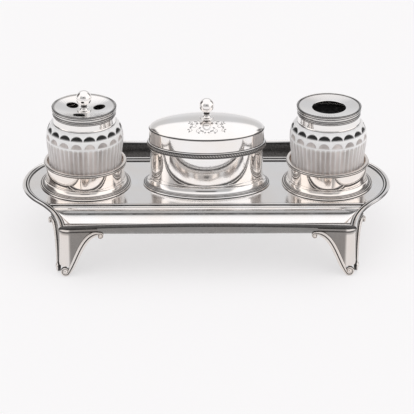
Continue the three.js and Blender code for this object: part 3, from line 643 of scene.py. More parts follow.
FOOT_INSET = 1.2
FOOT_SHEET = 1.5
PANEL_SHADE = 0.7                 # how dark the panels beside the bright corner are painted: a painted shade
FOOT_FLARE = 1.6
FOOT_CORNER = 6.5
STRAP_WIDTH = 4.6
STRAP_PROUD = 1.3
STRAP_SHADE = 0.8                  # painted shade on a strap's sides and in the groove along it
LOWER_SCROLL = 4.4
UPPER_SCROLL = 3.0
UPPER_SCROLL_DROP = 6.1
FRONT_SCROLL = (3.4, 27.8)         # where the lower scroll's eye is and how far off the upper one
SIDE_SCROLL = (8.3, 23.5)
UPPER_EYE = DECK_UNDERSIDE - UPPER_SCROLL_DROP
STRAP_SPAN = 0.93                  # share of a strap's run that the sheet reaches along
UPPER_STEPS = 40
LOWER_STEPS = 60
STEM_STEPS = 110
STEM_BLEND = 14                    # steps over which the stem takes the width of a volute


def flare(height):
    return FOOT_FLARE * (1 - height / DECK_UNDERSIDE) ** 2


def beside(centre, radius, way):
    """Gives the points by the corner along one of the two arcs that meet there, from the distance
    along the arc, the offset out of it and the height."""
    corner = angle_from(centre, corner_at(FOOT_INSET))

    def point(distance, offset, height):
        out = radius + FOOT_INSET - offset - flare(height)
        return (*(centre + out * toward(corner + way * distance / radius)), height)

    return point


beside_front = beside(EDGE_CENTRE, EDGE_RADIUS, 1)
beside_side = beside(SIDE_CENTRE, SIDE_RADIUS, -1)


def volute(eye, radius, start, turns, steps):
    """A strap that curls round an eye: middle points, widths and how proud each stands."""
    core = 0.34 * radius
    stops = []
    for i in range(steps + 1):
        share = i / steps
        outer = radius + (1.45 * core - radius) * max(0, (share - 0.12) / 0.88) ** 0.9
        middle = (outer + core) / 2
        angle = start - turns * FULL_TURN * share
        stops.append((eye + middle * toward(angle), outer - core, 0.9 * share))
    return stops


def bezier(controls, steps):
    for i in range(steps + 1):
        t = i / steps
        weights = ((1 - t) ** 3, 3 * t * (1 - t) ** 2, 3 * t * t * (1 - t), t ** 3)
        yield sum(w * np.array(c) for w, c in zip(weights, controls))


def strap_line(scroll):
    """Middle points, widths and rises of a strap from its upper volute to its lower one."""
    start, run = scroll
    rise = UPPER_EYE - LOWER_SCROLL
    lower_eye = np.array([start, LOWER_SCROLL])
    upper_eye = np.array([start + run, UPPER_EYE])
    top = volute(upper_eye, UPPER_SCROLL, math.radians(97), 0.85, UPPER_STEPS)
    bottom = volute(lower_eye, LOWER_SCROLL, math.radians(-36), 0.98, LOWER_STEPS)
    controls = [top[0][0], lower_eye + (0.5 * run, 1.09 * rise), lower_eye + (0.367 * run, 0.33 * rise),
                bottom[0][0]]
    middle = []
    for i, point in enumerate(bezier(controls, STEM_STEPS)):
        width = STRAP_WIDTH * (0.8 + 0.2 * math.sin(math.pi * i / STEM_STEPS) ** 0.5)
        blend = min(1, i / STEM_BLEND, (STEM_STEPS - i) / STEM_BLEND)
        end = top[0][1] if 2 * i < STEM_STEPS else bottom[0][1]
        middle.append((point, end + (width - end) * blend, 0))
    return top[::-1] + middle[1:-1] + bottom


# Across from -1 to 1 and up: two reeds with a groove between them, on a flat back.
STRAP_SECTION = closed_outline(
    (1.0, -1.0), (1.0, -0.1), (1.0, 0.15), (1.0, 0.4), (0.12, 0.15, 0.55), (-0.12, 0.15),
    (-1.0, 0.4, 0.55), (-1.0, 0.15), (-1.0, -0.1), (-1.0, -1.0), steps=10)[:-1]
HATCH_LENGTH = 1.15
HATCH_DEPTH = 0.09


def strap(name, scroll, place, sx, sy):
    """A hatched strap with a volute at each end, on the foot's sheet."""
    stops = strap_line(scroll)
    points = np.array([p for p, _, _ in stops])
    ways = np.gradient(points, axis=0)
    ways /= np.hypot(ways[:, 0], ways[:, 1])[:, None]
    travel = np.concatenate([[0], np.cumsum(np.hypot(*np.diff(points, axis=0).T))])
    rings = []
    for (middle, width, proud), way, far in zip(stops, ways, travel):
        ring = []
        for across, up in STRAP_SECTION:
            offset = up * FOOT_SHEET
            if up > 0:
                offset = up * (STRAP_PROUD + 0.15) + proud
            if up > 0 and across > 0.1:
                offset += HATCH_DEPTH * math.sin(FULL_TURN * (far / HATCH_LENGTH + 0.5 * across))
            side = across * width / 2
            ring.append(place(middle[0] + side * way[1], offset, middle[1] - side * way[0]))
        rings.append(ring)
    half = STRAP_WIDTH / 2
    tarnish = hollows(STRAP_SECTION * (half, STRAP_PROUD), True, [(half, 0), (-half, 0)], 0.4)
    side, up = np.abs(STRAP_SECTION[:, 0]), STRAP_SECTION[:, 1]
    # Painted shade on the strap's sides and its middle groove.
    tarnish = np.maximum(tarnish, np.where((side < 0.2) | (side > 0.9) & (up < 0.2), STRAP_SHADE, 0))
    swept(name, np.array(rings) * (sx, sy, 1), tarnish, finish=FOOT_SILVER)


def scroll_eyes(name, scroll, place, sx, sy):
    """A domed button in the middle of each volute, joined to a plug that fills it."""
    start, run = scroll
    for end, along, height, radius in (("lower", start, LOWER_SCROLL, 0.40 * LOWER_SCROLL),
                                       ("upper", start + run, UPPER_EYE, 0.40 * UPPER_SCROLL)):
        profile = [(radius, -0.9), (radius, 0.9)]
        profile += [(radius * math.cos(a), 0.9 + 0.85 * radius * math.sin(a))
                    for a in np.linspace(0.2, 0.5 * math.pi - 0.12, 7)]
        rings = []
        for around, offset in profile:
            rings.append([place(along + around * math.cos(a), offset, height + around * math.sin(a))
                          for a in np.linspace(0, FULL_TURN, 25)[:-1]])
        # The button's sides darken where it meets the volute: part patina, part painted shade.
        ring_darkening = np.clip(1 - np.arange(len(rings)) / 2.5, 0, 1)[:, None]
        swept(f"{name}_{end}_eye", np.array(rings) * (sx, sy, 1), ring_darkening,
              finish=FOOT_SILVER, nodes=())


def station(centre, radius, way, distance, scroll):
    """A place of the foot's sheet on an arc: its point, the way out, the distance and the strap."""
    unit = toward(angle_from(centre, corner_at(FOOT_INSET)) + way * distance / radius)
    return (centre + (radius + FOOT_INSET) * unit, -unit, distance, scroll)


def foot_stations():
    """The sheet's plan line from the front strap round the corner to the side strap."""
    ends = [start + STRAP_SPAN * run for start, run in (FRONT_SCROLL, SIDE_SCROLL)]
    stations = [station(EDGE_CENTRE, EDGE_RADIUS, 1, distance, FRONT_SCROLL)
                for distance in np.linspace(ends[0], FOOT_CORNER + 0.4, 26)]
    centre = corner_at(FOOT_INSET + FOOT_CORNER)
    turn_from = angle_from(EDGE_CENTRE, centre) - math.pi
    turn_to = angle_from(SIDE_CENTRE, centre) % FULL_TURN - math.pi
    for angle in np.linspace(turn_from, turn_to, 15):
        stations.append((centre + FOOT_CORNER * toward(angle), toward(angle), None, None))
    return stations + [station(SIDE_CENTRE, SIDE_RADIUS, -1, distance, SIDE_SCROLL)
                       for distance in np.linspace(FOOT_CORNER + 1.2, ends[1], 22)]


def strap_height(scroll, distance):
    """Height of a strap's middle at a distance from the corner."""
    line = np.array([p for p, _, _ in strap_line(scroll)[UPPER_STEPS + 1:-LOWER_STEPS - 1]])
    order = np.argsort(line[:, 0])
    return float(np.interp(distance, line[order, 0], line[order, 1]))


def foot_sheet(name, sx, sy):
    """The sheet round the corner with its cornice, cut to the straps below."""
    top = DECK_UNDERSIDE
    cornice = [(top - 3.4, 0), (top - 2.5, 0.45), (top - 2.3, 0.3), (top - 1.4, 0.75),
               (top - 0.4, 0.9), (top, 0.9)]
    bottom = 2 * LOWER_SCROLL - 1
    rings, tarnish = [], []
    for point, out, distance, scroll in foot_stations():
        low = strap_height(scroll, distance) if scroll else bottom
        low = min(low, cornice[0][0] - 0.5)
        column = [(height, 0) for height in np.linspace(low, cornice[0][0], 14)[:-1]] + cornice
        column += [(top, -FOOT_SHEET), (low, -FOOT_SHEET)]
        rings.append([(*(point + (offset + flare(height)) * out), height) for height, offset in column])
        grooves = hollows(np.array([(offset, height) for height, offset in column]), True)
        # Painted shade on the panels away from the corner.
        shade_on_panel = PANEL_SHADE * np.clip((distance - FOOT_CORNER) / 2 + 0.3, 0, 1) if scroll else 0
        tarnish.append(np.maximum(grooves, shade_on_panel))
    swept(name, np.array(rings) * (sx, sy, 1), np.array(tarnish), finish=FOOT_SILVER)


def feet():
    for side, end, sx, sy in QUARTERS:
        foot = f"{side}_{end}_foot"
        foot_sheet(f"{foot}_sheet", sx, sy)
        for kind, scroll, place in (("long", FRONT_SCROLL, beside_front),
                                    ("end", SIDE_SCROLL, beside_side)):
            strap(f"{foot}_{kind}_strap", scroll, place, sx, sy)
            scroll_eyes(f"{foot}_{kind}", scroll, place, sx, sy)


# ---- Galleries ----

def raised(profile):
    """Heights over the deck become heights over the table."""
    return profile + (0, DECK)


def gallery(end, x):
    kept = {"finish": GALLERY_SILVER, "at": (x, 0, 0)}
    wall, rim, foot = GALLERY_RADIUS, GALLERY_RIM_RADIUS, GALLERY_FOOT_RADIUS
    inner = wall - 0.8
    low = GALLERY_WALL_TOP
    turned(f"{end}_gallery_wall", raised(closed_outline(
        (wall, 0), (wall, low), (inner, low), (inner, 0))),
        **kept)
    turned(f"{end}_gallery_rim", raised(closed_outline(
        (wall + 0.1, low), (rim - 0.45, low + 0.05), (rim - 0.25, low + 0.95, 0.3),
        (rim - 0.1, low + 1.0), (rim - 0.1, low + 2.0, 0.32), (rim - 0.45, low + 2.1),
        (rim - 0.7, GALLERY_TOP - 0.1, 0.35), (inner + 0.4, GALLERY_TOP, 0.05),
        (inner, GALLERY_TOP - 0.4), (inner, low))),
        **kept)
    turned(f"{end}_gallery_foot", raised(closed_outline(
        (foot, 0), (foot, 0.3), (foot - 0.9, 1.25, 0.25), (foot - 1.1, 1.1), (foot - 2.3, 1.5, 0.4),
        (foot - 2.6, 1.35), (foot - 3.3, 2.3, 0.3), (wall + 0.35, 7.0, -0.75), (wall + 0.3, 7.2),
        (wall + 0.05, 7.2), (wall + 0.05, 0))),
        **kept)


# ---- Bottles ----

SCALLOPS = 18                      # thumb cuts round the shoulder
FLUTES = 48                        # upright cuts round the body
FLUTE_TOP = 41.5
UPPER_CUTS = (48.8, 52.2)
LOWER_CUTS = (42.4, 46.4)
NECK_DARK = 42                     # above this height the neck's inside is painted dark: painted shade under the collar
GLASS_RADIUS = 29.6
SHOULDER = 41                      # widest point over the deck
GLASS_WALL = 5.4
GLASS_BASE = 6
NECK_RADIUS = 21
NECK_WALL = 2.6


def thumb_cuts(height, across, low, high):
    """One row of arched thumb cuts between two heights, from 0 outside a cut to 1 inside it."""
    arch = low + (high - low) * np.sqrt(np.clip(1 - (across / 0.46) ** 2, 0, 1))
    return np.clip((height - low + 0.3) / 0.8, 0, 1) * np.clip((arch - height) / 1.0 + 0.4, 0, 1)


def cut_fields(grid, angles):
    """Where the outside of the bottle is cut: upper and lower thumb cuts, and upright flutes."""
    height = grid[..., 2] - DECK
    across = (angles * SCALLOPS / FULL_TURN + 0.5) % 1 - 0.5 + 0 * height
    upper = thumb_cuts(height, across, *UPPER_CUTS)
    lower = thumb_cuts(height, across / 0.85, *LOWER_CUTS)
    between = (angles * FLUTES / FULL_TURN) % 1 - 0.5 + 0 * height
    body = np.clip((FLUTE_TOP - height) / 2, 0, 1) * np.clip((height - 1.5) / 3, 0, 1)
    return upper, lower, 1 - (2 * np.abs(between)) ** 2.2, body


def on_outside(grid):
    return np.hypot(grid[..., 0], grid[..., 1]) > GLASS_RADIUS - 4.5


def glass_cuts(grid, angles):
    """Presses the cuts into the outside of the bottle's grid of points."""
    upper, lower, flute, body = cut_fields(grid, angles)
    depth = np.maximum(np.maximum(1.1 * upper, 0.7 * lower), 0.55 * flute * body) * on_outside(grid)
    radius = np.maximum(np.hypot(grid[..., 0], grid[..., 1]), 1)
    return np.concatenate([grid[..., :2] * (1 - depth / radius)[..., None], grid[..., 2:]], axis=-1)


def glass_marks(grid, angles, tarnish):
    """The painted shade of the upper cuts and of the neck's inside, the white mist on the glass, and its painted
    highlight and shade: lighter at the sides, darker in the flutes, the lower cuts and towards the bottom, where the
    flutes take their warm tone.
    """
    upper, lower, flute, body = cut_fields(grid, angles)
    outside = on_outside(grid)
    height = grid[..., 2] - DECK
    aside = np.cos(angles) ** 2
    # Painted highlight and shade: lighter at the sides, darker in the flutes, the lower cuts and towards the bottom.
    bright = 1 - (0.85 - 0.4 * aside) * body * flute - 0.75 * lower
    low_shade = np.clip((FLUTE_TOP - height) / 18, 0, 1) * (1 - 0.5 * aside)
    neck = ~outside & (height > NECK_DARK) & (np.hypot(grid[..., 0], grid[..., 1]) < NECK_RADIUS - 1)
    return {"tarnish": np.where(neck, 1, upper * outside), "mist": outside * (1 - upper),
            "bright": np.clip(bright, 0, 1) * (1 - 0.35 * low_shade)}


def bottle(end, x):
    seat = COLLAR_LOW
    neck_top = BEZEL_LOW - 0.3
    cavity = GLASS_RADIUS - GLASS_WALL
    mouth = NECK_RADIUS - NECK_WALL
    outside = outline(
        (0, 0), (GLASS_RADIUS - 1.2, 0), (GLASS_RADIUS, 1.2, 0.3), (GLASS_RADIUS, 4))
    heights = np.linspace(4, seat, 110)[1:]
    wall = np.stack([shoulder_radius(heights), heights], axis=1)
    inside = outline(
        (wall[-1][0] - 1, seat + 0.2), (NECK_RADIUS, seat + 0.2), (NECK_RADIUS, neck_top),
        (mouth, neck_top), (mouth, seat - 3), (cavity, SHOULDER - 1, 1.5), (cavity, GLASS_BASE + 4),
        (cavity - 4, GLASS_BASE, 1.2), (0, GLASS_BASE + 0.01), steps=8)
    inside[-1] = (0, GLASS_BASE + 0.01)
    turned(f"{end}_bottle", raised(np.concatenate([outside, wall, inside])), segments=FLUTES * 12,
           shaped=glass_cuts, marks=glass_marks, body=f"{end}_bottle_body", finish=GLASS, at=(x, 0, 0))
    collar(end, x)


def shoulder_radius(height):
    """The body swells to the shoulder, then curves in to the collar."""
    swell = np.clip((height - 22) / (SHOULDER - 22), 0, 1)
    body = GLASS_RADIUS + (GLASS_WIDEST - GLASS_RADIUS) * swell ** 2 * (3 - 2 * swell)
    over = np.clip((height - SHOULDER) / (COLLAR_LOW - SHOULDER), 0, 1)
    pulled_in = GLASS_WIDEST - COVER_RADIUS + 1.3
    return body - pulled_in * (1 - np.sqrt(np.clip(1 - over ** 2.1 * 0.985, 0, 1)))


def collar(end, x):
    low, top = COLLAR_LOW, COLLAR_TOP
    outer = reach(f"{end}_bottle_collar") - 0.3
    inner = outer - 1
    turned(f"{end}_bottle_collar", raised(closed_outline(
        (outer + 0.15, low), (outer + 0.1, low + 0.5), (outer - 0.3, low + 1.6, -0.1),
        (outer - 0.3, top - 3.5), (outer + 0.1, top - 3.3), (outer + 0.1, top - 2.4, 0.28),
        (outer + 0.05, top - 2.3), (outer + 0.05, top - 1.4, 0.28), (outer - 0.2, top - 1.2),
        (outer - 0.2, top), (inner, top), (inner, low))),
        body=f"{end}_bottle_body", finish=MOUNT_SILVER, at=(x, 0, 0))


# ---- Covers ----

COVER_SHEET = 1.2
COVER_LIP = COVER_RADIUS - 1.4     # where the dished top starts
LIP_DROP = 0.6
INK_DISH = 2.4                     # how deep the middle lies under the cover's top
INK_HOLE_RADIUS = 13.6
QUILL_DISH = 4.2
QUILL_STEM_HOLE = 2.2
QUILL_HOLE_ANGLES = (19, 140, 254)
QUILL_HOLE_CIRCLE = 12.7
QUILL_HOLE_RADIUS = 4.7


def dish_height(dish, radius):
    return COVER_TOP - LIP_DROP - (dish - LIP_DROP) * (1 - (radius / COVER_LIP) ** 2)


def cover_profile(dish, hole):
    """The reeded edge, the dished top and the bezel that drops into the collar."""
    low, top = COLLAR_TOP, COVER_TOP
    outer, bezel = COVER_RADIUS, COVER_RADIUS - 2.15
    lip = COVER_LIP
    upper = [(radius, dish_height(dish, radius)) for radius in np.linspace(lip - 0.4, hole + 0.4, 24)]
    lower = [(radius, dish_height(dish, radius) - COVER_SHEET)
             for radius in np.linspace(hole + 0.4, bezel - 1, 12)]
    edge = outline(
        (bezel, low), (outer - 0.6, low + 0.02), (outer - 0.4, low + 1.1, 0.4), (outer - 0.6, low + 1.25),
        (outer - 0.4, low + 1.4), (outer - 0.3, top - 1.3, 0.25), (outer - 0.55, top - 1.1),
        (outer - 0.25, top - 0.95), (outer - 0.35, top - 0.2, 0.3), (lip + 0.2, top - 0.3, 0.3),
        (lip, top - 0.55))
    brim = outline(upper[-1], (hole, upper[-1][1] - 0.5, 0.18), (hole, lower[0][1] + 0.2), lower[0])
    skirt = outline(lower[-1], (bezel - 1, BEZEL_LOW), (bezel - 0.2, BEZEL_LOW), (bezel, BEZEL_LOW + 0.3),
                    (bezel, low))
    parts = [edge, upper[:-1], brim, lower[1:-1], skirt]
    return raised(np.concatenate([np.asarray(part, float) for part in parts]))


def ink_cover():
    turned("ink_cover", cover_profile(INK_DISH, INK_HOLE_RADIUS), body="ink_cover_body",
           finish=MOUNT_SILVER, at=(BOTTLE_X, 0, 0))


def quill_cover():
    """The cover with three quill holes, each with a raised rim that follows the dish."""
    kept = {"body": "quill_cover_body", "finish": MOUNT_SILVER}
    hole = QUILL_HOLE_RADIUS
    disc = turned("quill_cover", cover_profile(QUILL_DISH, QUILL_STEM_HOLE), segments=192,
                  at=(-BOTTLE_X, 0, 0), **kept)
    seat = DECK + dish_height(QUILL_DISH, QUILL_HOLE_CIRCLE)
    slope = 2 * (QUILL_DISH - LIP_DROP) * QUILL_HOLE_CIRCLE / COVER_LIP ** 2
    for i, degrees in enumerate(QUILL_HOLE_ANGLES):
        angle = math.radians(degrees)
        x, y = QUILL_HOLE_CIRCLE * math.cos(angle), QUILL_HOLE_CIRCLE * math.sin(angle)
        drill(disc, (x - BOTTLE_X, y))
        ring = turned(f"quill_hole_rim_{i + 1}", closed_outline(
            (hole - 0.1, -0.4), (hole + 0.55, -0.25), (hole + 0.45, 0.0, 0.05), (hole - 0.1, 0.05, 0.22)),
            segments=48, nodes=(), at=(x - BOTTLE_X, y, seat), **kept)
        tilt_outwards(ring, slope, angle)


def tilt_outwards(ring, slope, angle):
    """Leans a flat ring so that it follows the dish, which rises away from the middle."""
    ring.data.transform(Matrix.Rotation(-math.atan(slope), 4, (-math.sin(angle), math.cos(angle), 0)))


def drill(obj, place):
    """Cuts a quill hole right through a cover."""
    bpy.ops.mesh.primitive_cylinder_add(
        vertices=48, radius=QUILL_HOLE_RADIUS * MM, depth=30 * MM,
        location=Vector((*place, DECK + COVER_TOP)) * MM)
    tool = bpy.context.object
    hole = obj.modifiers.new("hole", "BOOLEAN")
    hole.operation = "DIFFERENCE"
    hole.object = tool
    hole.solver = "EXACT"
    bpy.context.view_layer.update()
    graph = bpy.context.evaluated_depsgraph_get()
    mesh = bpy.data.meshes.new_from_object(obj.evaluated_get(graph))
    obj.modifiers.remove(hole)
    obj.data = mesh
    bpy.data.objects.remove(tool)


# ---- Oval box ----

LID_BAND = 11.1
LID_DOME = 8.8
LID_SHEET = 1.1
LID_CREASE = 0.4                   # the dome starts that far inside the band
DOME_ROUNDNESS = 0.55
ROPE_TURNS = 132
ROPE_SLANT = 2.2


def rope(grid, angles):
    """Slanting ribs round the box's rim."""
    height = grid[..., 2] - DECK - BOX_RIM_LOW
    radius = np.hypot(grid[..., 0], grid[..., 1])
    outside = np.hypot(grid[..., 0] / (BOX_RADIUS + 0.9), grid[..., 1] / (BOX_DEPTH + 0.9)) > 1
    band = np.clip((height - 0.5) / 0.5, 0, 1) * np.clip((4.2 - height) / 0.5, 0, 1)
    rib = 0.2 * np.sin(ROPE_TURNS * angles + ROPE_SLANT * height) * band * outside
    return np.concatenate([grid[..., :2] * (1 + rib / radius)[..., None], grid[..., 2:]], axis=-1)


def rope_valleys(grid, angles, tarnish):
    height = grid[..., 2] - DECK - BOX_RIM_LOW
    # The rope band is darkened all over, most in its valleys: part patina, part painted shade.
    valley = 0.72 - 0.28 * np.sin(ROPE_TURNS * angles + ROPE_SLANT * height)
    return {"tarnish": np.where((height > 0.4) & (height < 4.3), np.maximum(valley, tarnish), tarnish)}


def oval_piece(name, profile, segments=240, **kept):
    turned(name, raised(profile), segments=segments, oval=True, finish=BOX_SILVER, **kept)


def box():
    wall, inner = BOX_RADIUS, BOX_RADIUS - 1
    foot, rim, low = BOX_FOOT_RADIUS, BOX_RIM_RADIUS, BOX_RIM_LOW
    oval_piece("box_wall", closed_outline((wall, 0), (wall, BOX_TOP), (inner, BOX_TOP), (inner, 0)))
    oval_piece("box_floor", outline((0, 0), (inner - 0.2, 0), (inner - 0.2, 1), (0, 1.001)))
    oval_piece("box_foot", closed_outline(
        (foot, 0), (foot, 0.3), (foot - 0.9, 1.3, 0.25), (foot - 1.1, 1.15), (foot - 2.1, 1.6, 0.35),
        (foot - 2.4, 1.45), (foot - 3.0, 2.5, 0.3), (wall + 0.45, 9, -0.9), (wall + 0.4, 9.2),
        (wall + 0.05, 9.2), (wall + 0.05, 0)))
    oval_piece("box_rim", closed_outline(
        (wall + 0.1, low - 0.2), (wall + 0.5, low), (rim - 0.5, low + 0.15),
        (rim - 0.25, low + 0.95, 0.3), (rim - 0.3, low + 1.1), (rim - 0.25, low + 3.7, 0.28), (rim - 0.35, low + 3.85),
        (rim - 0.7, BOX_TOP, 0.25), (wall, BOX_TOP), (wall, low), steps=8),
        segments=8 * ROPE_TURNS, shaped=rope, marks=rope_valleys)


def dome_height(radius):
    """Height of the lid's dome over the deck, on an oval of that half-length."""
    share = np.clip(radius / (LID_REACH - LID_CREASE), 0, 1)
    return BOX_TOP + LID_BAND + LID_DOME * (1 - share ** 2) ** DOME_ROUNDNESS


def box_lid():
    band, top = LID_REACH, BOX_TOP + LID_BAND
    inner = band - 1.9
    radii = (band - LID_CREASE) * np.sin(np.linspace(math.pi / 2, 0, 60))
    dome = [(radius, float(dome_height(radius))) for radius in radii]
    under = [(radius, height - LID_SHEET) for radius, height in dome[::-1] if radius < inner - 1]
    edge = outline(
        (inner, BOX_TOP), (band - 0.2, BOX_TOP), (band, BOX_TOP + 0.2), (band, top - 0.35),
        (band - LID_CREASE, top - 0.01, 0.05), steps=3)
    skirt = outline(under[-1], (inner, top - 2.4), (inner, BOX_TOP))
    oval_piece("box_lid", np.concatenate([under[:-1], skirt, edge[1:], dome]), body="box_lid_body")
    bezel = LID_BEZEL_RADIUS
    low, high = over_deck("box_lid_bezel")
    oval_piece("box_lid_bezel", closed_outline(
        (bezel, low + 0.3), (bezel, high), (bezel - 0.9, high), (bezel - 0.9, low), (bezel - 0.3, low)),
        body="box_lid_body")


# ---- Engraving on the lid ----
# Generic foliage, scrolls with leaves on both sides of a plain oval, cut into the front of the dome.

OVAL_CENTRE = (0, -14.5)
STROKE_WIDTH = 0.36
STROKE_TARNISH = 0.7
STROKE_PROUD = 0.04
# One side's scrolls as (eye x, eye y, radius, start in degrees, turn in degrees).
SCROLLS = ((6.4, -8.6, 2.6, 200, 430), (9.6, -14.2, 3.0, 150, -430), (7.2, -19.6, 2.5, 90, 430),
           (12.2, -9.6, 1.8, 250, 400), (12.6, -18.6, 1.9, 110, -400), (3.0, -22.8, 1.7, 60, 380))


def leaf(root, direction, length, width):
    """Outline of a leaf and its vein, as lists of points."""
    way = toward(direction)
    aside = np.array([-way[1], way[0]])
    shares = np.linspace(0, 1, 9)
    for bulge in (-width, width, 0):
        yield [root + way * length * t + aside * bulge * math.sin(math.pi * t ** 0.8) for t in shares]


def scroll_with_leaves(x, y, radius, start, turn):
    eye = np.array([x, y])
    angles = np.radians(start + np.linspace(0, turn, 40))
    sizes = radius * np.linspace(1, 0.2, 40)
    yield [eye + size * toward(a) for a, size in zip(angles, sizes)]
    for k in (2, 8, 14):
        out = angles[k]
        root = eye + sizes[k] * toward(out)
        yield from leaf(root, out + math.copysign(0.5, turn), 0.85 * radius, 0.2 * radius)


def foliage():
    centre = np.array(OVAL_CENTRE, float)
    turns = np.linspace(0, FULL_TURN, 41)
    for reach_x, reach_y in ((2.6, 4.2), (3.3, 5.0)):
        yield [centre + (reach_x * math.cos(a), reach_y * math.sin(a)) for a in turns]
    for scroll in SCROLLS:
        for stroke in scroll_with_leaves(*scroll):
            yield stroke
            yield [(-x, y) for x, y in stroke]


def lid_surface(point):
    """A point of the dome over a place in plan, just proud of it."""
    squeeze = 1 - (BOX_RADIUS - BOX_DEPTH) / (BOX_RADIUS - OVAL_RIM)
    radius = math.hypot(point[0], point[1] / squeeze)
    return (point[0], point[1], DECK + float(dome_height(radius)) + STROKE_PROUD)


def engraving():
    points, faces = [], []
    for stroke in foliage():
        line = np.array(stroke)
        way = np.gradient(line, axis=0)
        aside = np.stack([-way[:, 1], way[:, 0]], axis=1) / np.hypot(way[:, 0], way[:, 1])[:, None]
        taper = np.sin(np.linspace(0.25, math.pi - 0.25, len(line)))[:, None]
        half = aside * taper * STROKE_WIDTH / 2
        first = len(points)
        for left, right in zip(line - half, line + half):
            points += [lid_surface(left), lid_surface(right)]
        faces += [(k, k + 1, k + 3, k + 2) for k in range(first, first + 2 * len(line) - 2, 2)]
    make_piece("lid_engraving", points, faces, BOX_SILVER, body="box_lid_body", nodes=(),
               tarnish=np.full(len(points), STROKE_TARNISH))


# ---- Finials ----

def finial(name, seat, ball, tail, x, body):
    """A ball over a ringed stem and a flange, with a tail that passes through its seat."""
    stem, flange = 1.9, 5.9
    middle = seat + 4.5 + ball
    neck = math.asin(1.15 * stem / ball)
    turns = np.linspace(neck, math.pi, 40)
    round_part = [(ball * math.sin(a), middle - ball * math.cos(a)) for a in turns]
    round_part[-1] = (0, middle + ball)
    base = outline(
        (0, seat - tail), (stem, seat - tail), (stem, seat), (flange - 0.1, seat + 0.02),
        (flange, seat + 0.3), (flange - 0.7, seat + 0.9, 0.25), (flange - 0.9, seat + 0.85),
        (stem + 1.0, seat + 1.9, -0.5), (stem + 0.1, seat + 3.0, -0.2), (stem + 0.2, seat + 3.1),
        (stem + 0.2, seat + 3.9, 0.45), (stem + 0.1, seat + 4.0), round_part[0], steps=7)
    turned(name, raised(np.concatenate([base[:-1], round_part])), segments=96, body=body,
           finish=FINIAL_SILVER, at=(x, 0, 0))


def finials():
    quill_seat = COVER_TOP - QUILL_DISH
    finial("quill_finial", quill_seat, 6.25, 2.8, -BOTTLE_X, "quill_cover_body")
    lid_seat = BOX_TOP + LID_BAND + LID_DOME - 0.5
    finial("box_finial", lid_seat, 6.05, lid_seat + DECK - span("box_finial")[0][2], 0, "box_lid_body")


# ---- Pieces carried over from the CAD ----

def carried_over():
    """The CAD pieces that need only a finish."""
    for node, finish, slot in (
            ("tray_deck", TRAY_SILVER, "tray_silver"), ("left_collar_pitch", PITCH, "pitch"),
            ("right_collar_pitch", PITCH, "pitch"), ("quill_finial_nut", FINIAL_SILVER, "finial_silver"),
            ("box_finial_nut", FINIAL_SILVER, "finial_silver")):
        obj = frame["nodes"][node]
        obj.data.materials.clear()
        obj.data.materials.append(finish)


# ---- Studio ----

CAMERA_LENS = 178.2
CAMERA_DISTANCE = 1684
CAMERA_AZIMUTH = 0.784
CAMERA_ELEVATION = 25.43
CAMERA_ROLL = 0.186
CAMERA_AIM = (0.55, 0, 18.4)

# Radiance of the studio's cards, and the spans that they fill in degrees: round from the front,
# to the right as seen from there, and up from the horizon.
LOW_REAR_CARD = (0.78, 0.78, 0.79, 1)
REAR_CARD = (0.65, 0.65, 0.66, 1)
TOP_CARD = (1.10, 1.09, 1.10, 1)
SIDE_CARD = (1.2, 1.16, 1.14, 1)
FRONT_CARD = (0.42, 0.415, 0.42, 1)
GAP = (0.14, 0.13, 0.13, 1)
DARK_LENS = (0.10, 0.10, 0.10, 1)
FRONT_SPAN = (-60, 36)
FRONT_FADE = (-12, 62)
SIDE_SPANS = ((34, 112), (-92, -56))
GAP_SPANS = ((116, 134), (-134, -98))
LENS_SPAN = (-13, 13)
LENS_HEIGHTS = (19, 32)
LOW_REAR_FADE = (8, 24)
REAR_FADE = (33, 41)
TOP_FADE = (34, 46)


def camera():
    azimuth, elevation = math.radians(-CAMERA_AZIMUTH), math.radians(CAMERA_ELEVATION)
    flat = math.cos(elevation)
    back = Vector((math.sin(azimuth) * flat, -math.cos(azimuth) * flat, math.sin(elevation)))
    data = bpy.data.cameras.new("camera")
    data.lens = CAMERA_LENS
    data.sensor_width = 36
    obj = placed("camera", data)
    obj.location = (Vector(CAMERA_AIM) + back * CAMERA_DISTANCE) * MM
    roll = Matrix.Rotation(math.radians(CAMERA_ROLL), 3, "Z")
    obj.rotation_euler = ((-back).to_track_quat("-Z", "Y").to_matrix() @ roll).to_euler()
    bpy.context.scene.camera = obj


FLOOR_REACH = 40                   # metres
GLOW_SHARE = 0.62                  # how much of the floor's look is plain white, without shadow


def floor():
    """A wide pale floor that keeps a light shadow."""
    n = Nodes("floor")
    mesh = bpy.data.meshes.new("floor")
    corners = [(x * FLOOR_REACH, y * FLOOR_REACH, 0) for x, y in ((-1, -1), (1, -1), (1, 1), (-1, 1))]
    mesh.from_pydata(corners, [], [(0, 1, 2, 3)])
    n.shader.inputs["Base Color"].default_value = (0.99, 0.985, 0.99, 1)
    n.shader.inputs["Roughness"].default_value = 0.9
    n.shader.inputs["Specular IOR Level"].default_value = 0.1
    glow = n.add("Emission", Color=(0.965, 0.955, 0.96, 1), Strength=1.0)
    path = n.add("LightPath").outputs
    mirrored = n.math("MAXIMUM", path["Is Glossy Ray"], path["Is Transmission Ray"])
    shown = n.math("MAXIMUM", path["Is Camera Ray"], mirrored)
    share = n.math("MULTIPLY", shown, GLOW_SHARE)
    n.link(n.blend(share, n.shader.outputs[0], glow.outputs[0]), n.output.inputs["Surface"])
    mesh.materials.append(n.material)
    obj = placed("floor", mesh)


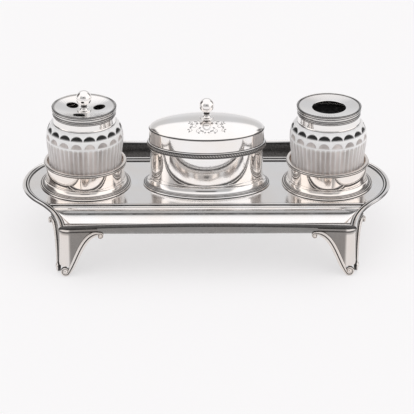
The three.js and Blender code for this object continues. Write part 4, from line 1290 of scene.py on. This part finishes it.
class SkyNodes(Nodes):
    """The same short way for the world's node tree."""

    def __init__(self, world):
        world.use_nodes = True
        self.tree = world.node_tree
        self.shader = self.tree.nodes["Background"]

    def rise(self, value, low, high):
        """0 below low, 1 above high, smooth between."""
        node = self.add("MapRange", From_Min=low, From_Max=high, interpolation_type="SMOOTHSTEP")
        self.link(value, node.inputs["Value"])
        return node.outputs["Result"]

    def within(self, value, low, high, soft):
        """1 between low and high, 0 outside."""
        return self.math("MULTIPLY", self.rise(value, low - soft, low + soft),
                         self.math("SUBTRACT", 1.0, self.rise(value, high - soft, high + soft)))


def world():
    """A studio of pale cards with darker gaps and a dark lens in front."""
    sky = bpy.data.worlds.new("studio")
    bpy.context.scene.world = sky
    n = SkyNodes(sky)
    way = n.add("SeparateXYZ")
    n.link(n.add("TexCoord").outputs["Generated"], way.inputs["Vector"])
    x, y, z = way.outputs
    degrees = 180 / math.pi
    turn = n.math("MULTIPLY", n.math("ARCTAN2", x, n.math("MULTIPLY", y, -1.0)), degrees)
    height = n.math("MULTIPLY", n.math("ARCSINE", z, 0.0), degrees)
    low_front = n.math("MULTIPLY", n.within(turn, *FRONT_SPAN, 10),
                       n.math("SUBTRACT", 1.0, n.rise(height, *FRONT_FADE)))
    colour = n.mix(n.rise(height, *LOW_REAR_FADE), LOW_REAR_CARD, REAR_CARD)
    colour = n.mix(n.rise(height, *REAR_FADE), colour, TOP_CARD)
    for card, soft, spans in ((SIDE_CARD, 4, SIDE_SPANS), (GAP, 5, GAP_SPANS)):
        for span_from, span_to in spans:
            colour = n.mix(n.within(turn, span_from, span_to, soft), colour, card)
    colour = n.mix(n.rise(height, *TOP_FADE), colour, TOP_CARD)
    colour = n.mix(low_front, colour, FRONT_CARD)
    lens = n.math("MULTIPLY", n.within(turn, *LENS_SPAN, 3), n.within(height, *LENS_HEIGHTS, 2))
    colour = n.mix(lens, colour, DARK_LENS)
    n.link(colour, n.shader.inputs["Color"])


# ---- Scene ----

borders()
# The rear trough's wall takes painted shade.
for trough_side, trough_flip, rear_wall_shade in (("front", 1, 0), ("rear", -1, 0.97)):
    trough(trough_side, trough_flip, rear_wall_shade)
    moulding(trough_side, trough_flip)
feet()
for bottle_end, bottle_x in (("left", -BOTTLE_X), ("right", BOTTLE_X)):
    gallery(bottle_end, bottle_x)
    bottle(bottle_end, bottle_x)
quill_cover()
ink_cover()
box()
box_lid()
engraving()
finials()
carried_over()
floor()
world()
camera()
bpy.context.scene.view_settings.view_transform = "Standard"
bpy.context.scene.cycles.max_bounces = 20
bpy.context.scene.cycles.glossy_bounces = 12
bpy.context.scene.cycles.transmission_bounces = 16
